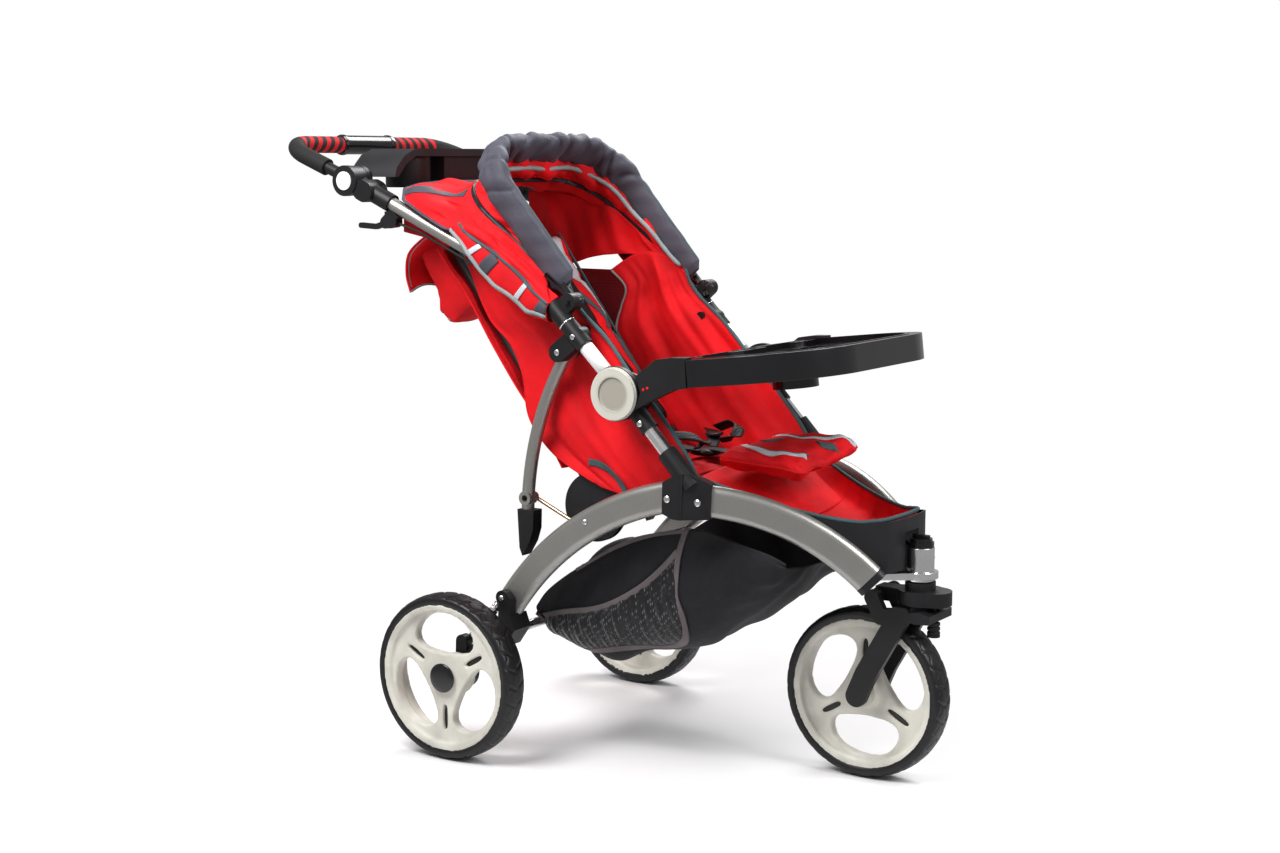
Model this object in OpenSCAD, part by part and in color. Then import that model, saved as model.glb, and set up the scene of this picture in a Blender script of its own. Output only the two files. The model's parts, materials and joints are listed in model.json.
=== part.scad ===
// Three-wheel jogging stroller with a swivelling front wheel.
// Frame: X points forward, Y to the stroller's left, Z up. The origin is on the floor,
// under the middle of the bounding box. Inside the modules X is counted from the rear
// axle, and place() moves it to the origin. Lengths are millimetres.

/* [Wheels] */
// Outer radius of all three wheels
wheel_r = 150; // [146:1:152]
// Width of a tyre
tyre_w = 54; // [48:1:56]
// Distance from rear axle to front axle
wheelbase = 673; // [668:1:678]
// Distance between the centre planes of the rear wheels
track = 625; // [620:1:640]

/* [Frame] */
// Half distance between the centre planes of the side tubes
side_y = 233; // [231:1:234]
// Outer radius of the round side tubes
tube_r = 12.5; // [11.5:0.1:12.5]
// Wall of every tube
wall = 2; // [1.5:0.1:3]
// Height of the flat-oval arch tube, seen from the side
arch_h = 55; // [50:1:55]
// Thickness of the flat-oval arch tube, seen from above
arch_t = 28; // [24:1:28]

/* [Handlebar] */
// Length of the handlebar arms from pivot to cross bar
bar_reach = 183; // [175:1:190]
// Radius of the foam grips
grip_r = 16; // [14:0.5:17]

/* [Canopy] */
// Reach of the canopy bows from their pivot
bow_reach = 344; // [330:1:350]
// Angle of the front bow above the forward direction
front_bow_a = 132; // [131:0.5:133]

/* [Seat] */
// Half width of the seat pads
pad_w = 168; // [150:1:168]
// Length of the backrest from its hinge
back_len = 560; // [500:5:560]
// Angle of the backrest above the forward direction
back_a = 126; // [124:0.5:128]

/* [Hidden] */
$fn = 48;

// Side-view places, [x, z] from the rear axle and the floor
fold_axis = [318, 672];
bend = [151, 836];
bar_axis = [-277, 1027];
junction = [452, 528];
strut_top = [185, 734];
strut_pin = [96, 466];
link_pin = [215, 414];
hub_axis = [215, 455];
bow_axis = [209, 823];
tray_seat = [459, 697];
calf_axis = [418, 536];
arm_axis = [62, 222];
spring_pin = [80, 292];
spring_foot = [2, 206];
head_x = 770;
fork_axis = [700, 327];

// Derived sizes
rim_r = wheel_r - 17;
wheel_y = track / 2;
bar_w = 236;
bar_corner = 62;
bar_a = 158.5;
crown_nose = 32;
crown_x = head_x + 24;
ring_r = grip_r + 4;
x_mid = (crown_x + crown_nose + bar_axis[0] + bar_reach * cos(bar_a) - ring_r) / 2;
fit_gap = 0.2;
pin_r = 5;
pin_gap = 0.05;
panel_y = 179.5;
wing_y = 172;
rod_y = 187;
strut_y = 204;
strut_r = 11.5;
well_r = 37.5;
splay = 25;
tray_tilt = 6.5;
lower_a = atan2(fold_axis[1] - junction[1], junction[0] - fold_axis[0]);

// Colours
silver = [0.66, 0.65, 0.62];
bright = [0.86, 0.86, 0.87];
black = [0.10, 0.10, 0.11];
charcoal = [0.17, 0.17, 0.18];
ivory = [0.83, 0.81, 0.76];
red = [0.85, 0.07, 0.10];
slate = [0.38, 0.38, 0.42];
rubber = [0.08, 0.08, 0.08];

// ---- Helpers -------------------------------------------------------------

module place() translate([-x_mid, 0, 0]) children();
module both_sides() { children(); mirror([0, 1, 0]) children(); }

// Round bar between two points
module bar(p, q, r) {
    d = q - p;
    translate(p)
        rotate([0, acos(d[2] / norm(d)), atan2(d[1], d[0])])
            cylinder(r = r, h = norm(d));
}

// Round tube between two points
module pipe(p, q, r, t = wall) {
    d = q - p;
    translate(p)
        rotate([0, acos(d[2] / norm(d)), atan2(d[1], d[0])])
            difference() {
                cylinder(r = r, h = norm(d));
                translate([0, 0, -1]) cylinder(r = r - t, h = norm(d) + 2);
            }
}

// Disc whose axis runs across the stroller, from y0 to y1
module disc(c, y0, y1, r)
    translate([c[0], y0, c[1]]) rotate([-90, 0, 0]) cylinder(r = r, h = y1 - y0);

// Side-view outline (children are drawn in X and Z), made solid from y0 to y1
module slab(y0, y1)
    translate([0, y1, 0]) rotate([90, 0, 0]) linear_extrude(height = y1 - y0) children();

// Flat capsule between two side-view points
module capsule(p, q, r) {
    d = q - p;
    n = [-d[1], d[0]] * r / norm(d);
    polygon([p + n, p - n, q - n, q + n]);
    translate(p) circle(r = r);
    translate(q) circle(r = r);
}

// Flat stroke through side-view points
module stroke(points, r)
    for (i = [0 : len(points) - 2]) capsule(points[i], points[i + 1], r);

// Flat-oval section: x is the long direction
module oval(long, short) {
    square([long - short, short], center = true);
    for (s = [-1, 1]) translate([s * (long - short) / 2, 0]) circle(d = short);
}

// Sweep of the children along an arc in the X-Z plane
module arc_sweep(centre, r, a0, a1)
    translate([centre[0], 0, centre[1]]) rotate([90, 0, 0]) rotate([0, 0, a0])
        rotate_extrude(angle = a1 - a0, $fn = 96) translate([r, 0]) children();

// Unit vector in the side view
function dir(a) = [cos(a), sin(a)];
function along(p, a, d) = p + d * dir(a);
function side(p, y) = [p[0], y, p[1]];

// Dome-headed screw that looks outwards at y
module screw(p, y, r = 5)
    translate([p[0], -y, p[1]]) rotate([90, 0, 0]) {
        cylinder(r = r, h = 2);
        translate([0, 0, 2]) cylinder(r1 = r, r2 = r * 0.6, h = 1.5, $fn = 32);
    }

// ---- Arches and lower frame ------------------------------------------------

rear_arc = [530, -35];
rear_arc_r = 549;
rear_arc_a0 = 99.6;
rear_arc_a1 = 147.6;
front_arc_r = 445;
front_arc_z = 499 - front_arc_r;
front_arc_a0 = 45.5;
front_arc_a1 = 88.8;

module arch_section(long, short) {
    difference() {
        oval(long, short);
        oval(long - 2 * wall, short - 2 * wall);
    }
}

module rear_arches() color(silver) place() both_sides()
    translate([0, -side_y, 0])
        arc_sweep(rear_arc, rear_arc_r, rear_arc_a0, rear_arc_a1)
            arch_section(arch_h, arch_t);

// Puts the front half of an arch in its own plane, which turns towards the head
module front_plane() translate([440, -side_y, 0]) rotate([0, 0, splay]) children();

module front_arches() color(silver) place() both_sides() front_plane()
    arc_sweep([0, front_arc_z], front_arc_r, front_arc_a0, front_arc_a1)
        arch_section(arch_h, arch_t);

module arch_end_caps() color(black) place() both_sides() {
    front_plane() {
        arc_sweep([0, front_arc_z], front_arc_r, front_arc_a0 - 1.6, front_arc_a0 - 0.05)
            oval(arch_h + 1, arch_t + 1);
        arc_sweep([0, front_arc_z], front_arc_r, front_arc_a0 - 0.1, front_arc_a0 + 2)
            oval(arch_h - 2 * wall - 1, arch_t - 2 * wall - 1);
    }
}

// Solid that fills an arch and a little around it, to cut sockets with
module arch_room() {
    translate([0, -side_y, 0])
        arc_sweep(rear_arc, rear_arc_r, rear_arc_a0 - 0.1, rear_arc_a1)
            oval(arch_h + 2 * fit_gap, arch_t + 2 * fit_gap);
    front_plane()
        arc_sweep([0, front_arc_z], front_arc_r, front_arc_a0, front_arc_a1 + 0.1)
            oval(arch_h + 2 * fit_gap, arch_t + 2 * fit_gap);
}

socket_top = along(junction, 180 - lower_a, 66);
tube_foot = along(junction, 180 - lower_a, 12);
tube_head = along(fold_axis, -lower_a, 34);
collar_end = along(fold_axis, -lower_a, 82);

// Casting that joins the rear arch, the front arch and the lower tube
module y_junctions() color(black) place() both_sides() difference() {
    union() {
        translate([0, -side_y, 0]) slab(-18, 18)
            polygon([[409, 528], [408, 474], [430, 466], [446, 466], [450, 545], [432, 541]]);
        front_plane() slab(-18, 18)
            polygon([[-8, 541], [12, 545], [50, 526], [47, 468], [-8, 466]]);
        bar(side(along(junction, -lower_a, 10), -side_y), side(socket_top, -side_y), 17.5);
    }
    arch_room();
    bar(side(tube_foot, -side_y), side(along(socket_top, 180 - lower_a, 5), -side_y), tube_r + 0.1);
}

module lower_tubes() color(bright) place() both_sides()
    pipe(side(along(tube_foot, 180 - lower_a, 0.2), -side_y), side(tube_head, -side_y), tube_r);

hub_r = 47;
knuckle_r = 27;

// Fixed half of the folding joint: two cheeks, a web and the collar on the lower tube
module fold_hubs() color(black) place() both_sides() difference() {
    union() {
        disc(fold_axis, -side_y - 26, -side_y - 15, hub_r);
        disc(fold_axis, -side_y + 15, -side_y + 22, 34);
        intersection() {
            disc(fold_axis, -side_y - 26, -side_y + 22, hub_r);
            slab(-side_y - 26, -side_y + 22)
                translate(fold_axis) polygon([[12, 10], [60, 20], [60, -60], [2, -60], [2, -12]]);
        }
        bar(side(along(fold_axis, -lower_a, 32), -side_y), side(collar_end, -side_y), 16);
    }
    disc(fold_axis, -side_y - 15, -side_y + 15, knuckle_r + 3);
    disc(fold_axis, -side_y - 30, -side_y + 30, pin_r + 0.02);
    bar(side(tube_head, -side_y) - [1, 0, -1], side(along(collar_end, -lower_a, 5), -side_y), tube_r + 0.1);
}

module hub_caps() color(ivory) place() both_sides() difference() {
    union() {
        disc(fold_axis, -side_y - 33, -side_y - 26.2, hub_r - 3);
        disc(fold_axis, -side_y - 29, -side_y - 26.2, hub_r - 1);
    }
    disc(fold_axis, -side_y - 40, -side_y - 30, 29);
}

// Black block that carries the tray bar in front of the folding joint
module tray_connectors() color(black) place() both_sides() difference() {
    slab(-tray_half, -tray_half + 21)
        polygon([
            fold_axis + [44, 34], [400, 735], [431, 740], [458, 741], [461, 690],
            [436, 686], [405, 672], fold_axis + [42, -24], fold_axis + [52, 5]
        ]);
    disc(fold_axis, -tray_half - 10, 0, hub_r + fit_gap);
    tray_frame() translate([-30, -tray_half + 5 - fit_gap, -9 - fit_gap])
        cube([60, 10 + 2 * fit_gap, 18 + 2 * fit_gap]);
}

beam_axis = [92, 232];

module rear_beam() color(black) place() {
    end = side_y + 17;
    pipe([beam_axis[0], -end, beam_axis[1]], [beam_axis[0], end, beam_axis[1]], 9);
}

// Block at the foot of each rear arch, which holds the suspension pin and the spring's top
module rear_housings() color(black) place() both_sides() difference() {
    union() {
        slab(-side_y - 32, -side_y + 17)
            polygon([[40, 208], [84, 202], [108, 236], [98, 262], [62, 250], [42, 240]]);
        slab(-side_y - 32, -side_y - 15.5) stroke([[84, 240], spring_pin + [6, -6], spring_pin], 13);
    }
    arch_room();
    disc(arm_axis, -300, -200, pin_r + pin_gap);
    disc(beam_axis, -side_y - 20, 0, 9.1);
}

head_plate_z = 362;

// Steering head welded to the plate that ties both front arches together
module head_tube() color(bright) place() difference() {
    union() {
        translate([head_x, 0, 357]) cylinder(r = 23, h = 58);
        translate([0, 0, head_plate_z]) linear_extrude(height = 12) {
            translate([head_x, 0]) circle(r = 30);
            polygon([[head_x, 30], [708, 74], [700, 74], [700, -74], [708, -74], [head_x, -30]]);
        }
    }
    translate([head_x, 0, 340]) cylinder(r = 14.05, h = 100);
    both_sides() arch_cut();
}

module arch_cut() front_plane()
    arc_sweep([0, front_arc_z], front_arc_r, front_arc_a0 - 1.7, front_arc_a0 + 20)
        oval(arch_h + 2, arch_t + 2);

module swivel_knob() color(black) place() {
    translate([head_x, 0, 415.2]) cylinder(r = 22, h = 9);
    translate([head_x, 0, 424]) cylinder(r = 19, h = 6);
    translate([head_x - 28, -7, 417]) cube([28, 14, 7]);
    translate([head_x, 0, 424]) linear_extrude(height = 12) capsule([-12, 0], [12, 0], 4);
}

// ---- Footwell ----------------------------------------------------------------

foot_x0 = 448;
foot_x1 = 742;
function foot_w(x) = side_y - 20.5 - (x - 440) * tan(splay);
function foot_rim(x) = x < 700 ? 460 + 75 * pow((700 - x) / 260, 1.5) : 460 + (x - 700) * 0.13;
foot_steps = 9;

// Plan outline of the footwell, drawn inwards by inset
module foot_plan(inset) {
    xs = [for (i = [0 : foot_steps]) foot_x0 + (foot_x1 - foot_x0 - inset) * i / foot_steps];
    polygon(concat(
        [for (x = xs) [x, foot_w(x) - inset]],
        [for (i = [1 : 5]) [foot_x1 - inset + 12 * sin(i * 18), (foot_w(foot_x1) - inset) * cos(i * 18)]],
        [for (i = [1 : 4]) [foot_x1 - inset + 12 * cos(i * 18), -(foot_w(foot_x1) - inset) * sin(i * 18)]],
        [for (i = [foot_steps : -1 : 0]) [xs[i], -(foot_w(xs[i]) - inset)]]
    ));
}

// Side outline of the footwell between its rim and its floor
module foot_side(lift, drop) {
    xs = [for (i = [0 : foot_steps]) foot_x0 + (760 - foot_x0) * i / foot_steps];
    polygon(concat(
        [for (x = xs) [x, foot_rim(x) - drop]],
        [[760, 380 + lift], [738, 376 + lift], [617, 426 + lift], [500, 466 + lift], [foot_x0, 484 + lift]]
    ));
}

// Solid footwell with room for the steering head cut out of its nose
module foot_block(inset, lift, drop, clear) difference() {
    intersection() {
        translate([0, 0, 300]) linear_extrude(height = 300) foot_plan(inset);
        slab(-300, 300) foot_side(lift, drop);
    }
    translate([head_x, 0, 300]) cylinder(r = clear, h = 111 + clear);
}

module footwell_shell() color(charcoal) place() difference() {
    foot_block(0, 0, 0, 31);
    foot_block(3, 3, -60, 34);
    translate([foot_x0 - 1, -foot_w(440), 488]) cube([5, 2 * foot_w(440), 90]);
}

module footwell_liner() color(red) place() difference() {
    foot_block(4.5, 4.5, 2, 35.5);
    foot_block(8.5, 8.5, -60, 39.5);
    translate([foot_x0 - 1, -foot_w(440), 496]) cube([11, 2 * foot_w(440), 90]);
}

// ---- Soft parts on the lower frame ------------------------------------------------

seat_front = 414;

module seat_base() color(red) place() {
    slab(-pad_w, pad_w) polygon([[288, 474], [seat_front, 496], [seat_front, 532], [288, 524]]);
    slab(-140, 140) polygon([[236, 468], [289, 474], [289, 524], [240, 520]]);
}

// Lap strap, crotch strap and buckle of the harness
module harness() color(black) place() difference() {
    union() {
        slab(-19, 19) polygon([[296, 526.5], [404, 533.4], [404, 536.4], [296, 529.5]]);
        slab(-120, 120) polygon([[322, 530], [346, 531.5], [346, 534.5], [322, 533]]);
        translate([318, -26, 531.5]) cube([50, 52, 14]);
    }
    translate([343, 0, 540]) cylinder(r = 9.2, h = 20);
}

module buckle_button() color(red) place() translate([343, 0, 542.5]) {
    cylinder(r = 9, h = 5);
    translate([0, 0, 5]) cylinder(r1 = 9, r2 = 7, h = 1.5, $fn = 32);
}

// Red side panels between the lower tube, the arch and the folding joint
module side_panels() color(red) place() both_sides() difference() {
    slab(-panel_y - 2, -panel_y)
        polygon([
            [430, 532], [440, 500], [330, 478], [238, 494], [156, 534],
            [92, 570], [58, 640], [150, 700], [300, 700], fold_axis + [10, 20]
        ]);
    disc(hub_axis, -panel_y - 5, -panel_y + 5, 78);
}

// Open storage bag under the seat
module basket() color(black) place() difference() {
    slab(-176, 176) polygon(basket_outline(0));
    slab(-172, 172) polygon(concat(basket_outline(4), [[620, 600], [60, 600]]));
}

function basket_outline(inset) = [
    [104 + inset, 262], [171 + inset, 190 + inset], [247, 175 + inset], [434, 222 + inset],
    [560 - inset, 322 + inset], [596 - inset, 398], [413, 444], [248, 392]
];

module chassis_screws() color(bright) place() both_sides() {
    for (p = [[419, 500], [479, 499]]) screw(p, side_y + 18, 6);
    screw(along(fold_axis, -lower_a, 66), side_y + 16, 5.5);
    screw([248, 443], side_y + 14, 5);
    screw(spring_pin, side_y + 32, 5);
    screw([97, 226], side_y + 32, 3.5);
    disc(fold_axis, -side_y - 25.8, -side_y + 21.8, pin_r);
}

// ---- Upper frame: everything that folds back ----------------------------------------

upper_a = atan2(bend[1] - fold_axis[1], bend[0] - fold_axis[0]);
shoulder_a = atan2(bar_axis[1] - bend[1], bar_axis[0] - bend[0]);
bend_turn = shoulder_a - upper_a;
bend_r = 150;
bend_cut = bend_r * tan(bend_turn / 2);
bend_in = along(bend, upper_a + 180, bend_cut);
bend_out = along(bend, shoulder_a, bend_cut);
bend_centre = along(bend_in, upper_a - 90, -bend_r);
tube_tip = along(bar_axis, shoulder_a + 180, 33);

// small step that keeps neighbouring solids from ending on the same face
seam = 0.05;

// Hollow side tube in three lengths with its bend, and the knuckle that turns in the fold hub
module upper_tubes() color(silver) place() both_sides() difference() {
    union() {
        translate([0, -side_y, 0]) {
            pipe(side(along(fold_axis, upper_a, 20), 0), side(along(bend_in, upper_a, -seam), 0), tube_r);
            pipe(side(along(bend_out, shoulder_a, seam), 0), side(tube_tip, 0), tube_r);
            arc_sweep(bend_centre, bend_r, upper_a - 90, shoulder_a - 90) difference() {
                circle(r = tube_r);
                circle(r = tube_r - wall);
            }
        }
        disc(fold_axis, -side_y - 14.8, -side_y + 14.8, knuckle_r);
    }
    disc(fold_axis, -side_y - 20, -side_y + 20, pin_r + pin_gap);
}

// Point on the upper tube's centre line, d from the fold axis
function upper_at(d) = along(fold_axis, upper_a, d);

bolt_on_tube = upper_at(131);

// Collars on the upper tube: one with the ears of the prop strut, one with the canopy boss
module upper_brackets() color(black) place() both_sides() difference() {
    union() {
        bar(side(upper_at(108), -side_y), side(upper_at(160), -side_y), 16);
        slab(-side_y - 6, -strut_y - 12.2) stroke([bolt_on_tube, strut_top], 17);
        slab(-strut_y + 12.4, -rod_y + 0.5) stroke([strut_top, strut_top + [22, 21]], 13);
        slab(-side_y + 12, -rod_y + 0.5) stroke([strut_top + [22, 21], bolt_on_tube + [-8, 8]], 7);
        bar(side(upper_at(161), -side_y), side(along(bend_in, upper_a, -2), -side_y), 16.5);
        slab(-side_y - 8, -side_y + 8) stroke([upper_at(186), bow_axis], 15);
        disc(bow_axis, -side_y - 15, -bow_w + 2, pin_r - pin_gap);
    }
    bar(side(fold_axis, -side_y), side(bend_in, -side_y), tube_r + 0.1);
    disc(strut_top, -side_y - 20, -rod_y + 20, pin_r + 0.02);
    disc(strut_top, -strut_y - 12.2, -strut_y + 12.4, 18);
}

housing_w = 23;

// Point on the handle tube's centre line, d back from the handle pivot
function shoulder_at(d) = along(bar_axis, shoulder_a + 180, d);

// Pivot housing at the top of each side tube
module handle_housings() color(black) place() both_sides() difference() {
    union() {
        disc(bar_axis, -side_y - housing_w - 2, -side_y - 12, 28);
        disc(bar_axis, -side_y + 12, -side_y + housing_w, 28);
        bar(side(shoulder_at(24), -side_y), side(shoulder_at(102), -side_y), 17);
        slab(-side_y - housing_w, -side_y + housing_w) stroke([shoulder_at(40), shoulder_at(48)], 19);
    }
    translate([0, -side_y, 0])
        bar(side(tube_tip, 0), side(bend_out, 0), tube_r + 0.1);
    disc(bar_axis, -side_y - 12, -side_y + 12, 30);
    disc(bar_axis, -side_y - 50, -side_y + 50, 17.2);
}

console_x0 = -302;
console_x1 = -196;
console_top = 1086;
cup_y = 108;

// Parent console: a bridge between the housings with two cup wells and a box
module console() color(black) place() difference() {
    length = console_x1 - console_x0;
    union() {
        translate([console_x0, -150, console_top - 14]) cube([length, 300, 14]);
        both_sides() {
            translate([console_x0 + length / 2, -cup_y, 1014])
                cylinder(r = well_r + 5, h = console_top - 1014);
            translate([console_x0, 0, 0]) rotate([90, 0, 90]) linear_extrude(height = length) polygon([
                [-149, console_top], [-180, 1074], [-204, 1052], [-209.8, 1034],
                [-200, 1034], [-176, 1058], [-149, console_top - 14]
            ]);
        }
        translate([console_x0 + 8, -56, 1016]) cube([length - 16, 112, console_top - 1016]);
    }
    both_sides() translate([console_x0 + length / 2, -cup_y, 1019]) {
        cylinder(r1 = well_r - 3, r2 = well_r, h = 3);
        translate([0, 0, 3]) cylinder(r = well_r, h = 200);
    }
    translate([console_x0 + 12, -52, 1020]) cube([length - 24, 104, 200]);
    both_sides() disc(bar_axis, -side_y - 30, -side_y + housing_w + 0.3, 29);
}

clamp_at = shoulder_at(96);
lever_pin = clamp_at + [-6, -36];

// Clamp of the hand brake, under the near-side tube
module brake_clamp() color(black) place() difference() {
    union() {
        slab(-side_y - 9, -side_y + 9) stroke([clamp_at + [10, -22], lever_pin, lever_pin + [16, 2]], 11);
        slab(-side_y - 9, -side_y + 9)
            polygon([clamp_at + [-6, -16], clamp_at + [26, -24], lever_pin + [22, 0], lever_pin]);
    }
    bar(side(tube_tip, -side_y), side(bend_out, -side_y), tube_r + 0.2);
    bar(side(shoulder_at(20), -side_y), side(shoulder_at(102.5), -side_y), 17.2);
    slab(-side_y - 4.2, -side_y + 4.2) {
        translate(lever_pin) circle(r = 14);
        translate(lever_pin + [-30, -14]) square([30, 28]);
    }
    disc(lever_pin, -side_y - 20, -side_y + 20, 2.5);
}

module brake_lever() color(black) place() {
    slab(-side_y - 3.9, -side_y + 3.9) stroke([lever_pin, lever_pin + [-26, -8], lever_pin + [-62, -6]], 5);
    disc(lever_pin, -side_y - 8.8, -side_y + 8.8, 2.44);
}

// Brake cable: a short lead and a run along the underside of the tube
module brake_cable() color(black) place() translate([0, -side_y, 0]) {
    start = lever_pin + [27.5, -2];
    run_a = shoulder_a + 180;
    knee = start + [46, -14];
    bar(side(start, 0), side(knee, 0), 2.4);
    bar(side(along(knee, run_a, -2), 0), side(along(knee, run_a, 150), 0), 2.5);
}

// Striped shoulder panels that hang inside the upper tubes
module side_wings() color(red) place() both_sides()
    slab(-wing_y - 4, -wing_y) polygon([
        [-168, 984], [-190, 968], [-130, 936], [-60, 892], [40, 822], [120, 720], [160, 704],
        along(fold_axis, upper_a, 60), along(fold_axis, upper_a, 200), bend_out
    ]);

// ---- Prop struts and links ------------------------------------------------------

strut_len = norm(strut_top - strut_pin);
strut_bow_r = 548;
strut_a = atan2(strut_top[1] - strut_pin[1], strut_top[0] - strut_pin[0]);
strut_half = asin(strut_len / 2 / strut_bow_r);
strut_centre = (strut_top + strut_pin) / 2
    + strut_bow_r * cos(strut_half) * dir(strut_a - 90);

// Bowed tube of the strut; it starts at angle from and runs past the pin by angle past
module strut_arc(from, past, radius) translate([0, -strut_y, 0])
    arc_sweep(strut_centre, strut_bow_r, strut_a + 90 - strut_half + from, strut_a + 90 + strut_half + past)
        circle(r = radius);

module prop_struts() color(silver) place() both_sides() difference() {
    union() {
        strut_arc(0.6, 6, strut_r);
        disc(strut_top, -strut_y - 12, -strut_y + 12, 13);
        disc(strut_pin, -strut_y - 12, -strut_y + 12, 12.5);
        disc(strut_top, -strut_y - 20, -strut_y + 16.5, pin_r - 0.03);
    }
    disc(strut_pin, -strut_y - 20, -strut_y + 20, 6);
}

module strut_feet() color(black) place() both_sides() difference() {
    slab(-strut_y - 14.5, -strut_y + 12)
        polygon([[82, 446], [86, 376], [92, 362], [108, 388], [116, 412], [117, 446]]);
    strut_arc(0, 6.1, strut_r + 0.1);
}

// Link from the strut to the arch; its front pin has a running fit, its rear eye stays clear
module link_rods() color([0.72, 0.55, 0.42]) place() both_sides() {
    rod_a = atan2(link_pin[1] - strut_pin[1], link_pin[0] - strut_pin[0]);
    bar(side(along(link_pin, rod_a, -3), -rod_y), side(along(strut_pin, rod_a, 4), -rod_y), 3.5);
    disc(link_pin, -rod_y - 4, -rod_y + 4, 9);
    disc(strut_pin, -rod_y - 4, -rod_y + 4, 8);
    disc(link_pin, -side_y + arch_t / 2 + 0.3, -rod_y - 3, 4.5);
}

// ---- Handlebar -------------------------------------------------------------------

// Frame of the handlebar: local X runs along its arms
module bar_frame() translate(side(bar_axis, 0)) rotate([0, -bar_a, 0]) children();

// U path from x0 on both arms, with the children as section
module bar_sweep(x0, r) {
    both_sides() {
        translate([x0, -bar_w + 3, 0]) rotate([0, 90, 0]) cylinder(r = r, h = bar_reach - bar_corner - x0);
        translate([bar_reach - bar_corner, -bar_w + 3 + bar_corner, 0]) rotate([0, 0, -90])
            rotate_extrude(angle = 90, $fn = 64) translate([bar_corner, 0]) circle(r = r);
    }
    translate([bar_reach, -bar_w + 3 + bar_corner, 0]) rotate([-90, 0, 0])
        cylinder(r = r, h = 2 * (bar_w - 3 - bar_corner));
}

module handlebar_tube() color(black) place() difference() {
    union() {
        bar_frame() bar_sweep(20, 11);
        both_sides() disc(bar_axis, -side_y - 11.8, -side_y + 11.8, 27.5);
    }
    both_sides() disc(bar_axis, -side_y - 20, -side_y + 20, 17.2);
}

module foam_grips() color(charcoal) place() bar_frame() difference() {
    bar_sweep(66, grip_r);
    bar_sweep(60, 11.1);
    translate([bar_reach - 40, -75, -40]) cube([80, 150, 80]);
}

module grip_barrel() color(charcoal) place() bar_frame() difference() {
    translate([bar_reach, -74.8, 0]) rotate([-90, 0, 0]) {
        cylinder(r = 18.5, h = 149.6);
        for (y = [4, 138]) translate([0, 0, y]) cylinder(r = ring_r, h = 7);
    }
    bar_sweep(60, 11.1);
}

// Round push button in the middle of each handlebar pivot
module tilt_button(s) color(bright) place() scale_side(s) {
    disc(bar_axis, -side_y - 27, -side_y + 12, 17);
}
module scale_side(s) if (s > 0) mirror([0, 1, 0]) children(); else children();
module tilt_button_left() tilt_button(1);
module tilt_button_right() tilt_button(-1);

// ---- Seat back ----------------------------------------------------------------------

board_y = 150;

// Round hinge housings that carry the backrest
module recline_hubs() color(charcoal) place() {
    both_sides() {
        difference() {
            disc(hub_axis, -pad_w - 3, -board_y - 6, 62);
            disc(hub_axis, -pad_w - 20, -board_y + 20, 8.05);
        }
    }
}

// Point of the backrest: up along it from the hub, and out behind it
function back_at(up, behind = 0) = along(hub_axis, back_a, up) + behind * dir(back_a + 90);

// Backrest board on two side tubes, with the ribbed knobs at their feet
module backrest_frame() color(charcoal) place() {
    tube_y = board_y - 3;
    both_sides() {
        disc(hub_axis, -pad_w - 2.8, -board_y + 11, 8);
        disc(hub_axis, -board_y - 5.8, -board_y + 11, 18);
        bar(side(hub_axis, -tube_y), side(back_at(back_len), -tube_y), 8);
    }
    for (d = [110, back_len]) bar(side(back_at(d), -tube_y), side(back_at(d), tube_y), 7);
    slab(-board_y + 12, board_y - 12)
        polygon([back_at(96), back_at(back_len - 10), back_at(back_len - 10, 4), back_at(96, 4)]);
}

module backrest_pad() color(red) place() {
    top = back_len + 10;
    slab(-pad_w, pad_w) polygon([back_at(92, -9), back_at(top, -9), back_at(top, -33), back_at(92, -43)]);
}

// Pocket that hangs behind the top of the backrest
module rear_pocket() color(red) place()
    slab(-150, 150)
        polygon([back_at(440, 12), back_at(440, 96), back_at(480, 106), back_at(604, 82), back_at(590, 12)]);

calf_len = 186;
calf_w = 126;
calf_round = 20;

// Padded calf rest, hinged at its rear edge
module calf_pad() color(red) place() translate(side(calf_axis, 0)) {
    translate([0, 0, 5]) linear_extrude(height = 20) {
        translate([6, -calf_w + calf_round]) square([calf_len - 6, 2 * (calf_w - calf_round)]);
        translate([6 + calf_round, -calf_w]) square([calf_len - 6 - 2 * calf_round, 2 * calf_w]);
        for (s = [-1, 1], x = [6 + calf_round, calf_len - calf_round])
            translate([x, s * (calf_w - calf_round)]) circle(r = calf_round);
    }
    rotate([90, 0, 0]) translate([8, 4, -110]) cylinder(r = 4, h = 220);
}

// ---- Canopy -------------------------------------------------------------------------

bow_w = 212;
bow_corner = 105;
mid_bow_a = front_bow_a + 11;

module bow_frame(a) translate(side(bow_axis, 0)) rotate([0, -a, 0]) children();

// Flat outline between two U shapes of the bow's plane
module bow_outline(out, thick) difference() {
    u_shape(bow_w + out, bow_reach + out);
    u_shape(bow_w + out - thick, bow_reach + out - thick);
}
module u_shape(w, reach) {
    translate([0, -w]) square([reach - bow_corner, 2 * w]);
    translate([0, -w + bow_corner]) square([reach, 2 * (w - bow_corner)]);
    for (s = [-1, 1]) translate([reach - bow_corner, s * (w - bow_corner)])
        circle(r = bow_corner, $fn = 64);
}

// One bow: U-shaped strip, two hub eyes at hub_y and the arms between them
module bow(a, hub_y, reach) {
    bow_frame(a) translate([0, 0, -4]) linear_extrude(height = 8) difference() {
        bow_outline(0, 6);
        translate([-1, -300]) square([reach, 600]);
    }
    both_sides() difference() {
        union() {
            disc(bow_axis, -hub_y - 6, -hub_y, 15);
            bow_frame(a) {
                translate([10, -hub_y - 6, -4]) cube([reach, 6, 8]);
                translate([reach, -hub_y - 6, -4]) cube([10, hub_y + 12 - bow_w, 8]);
            }
        }
        disc(bow_axis, -300, -100, pin_r);
    }
}

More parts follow.
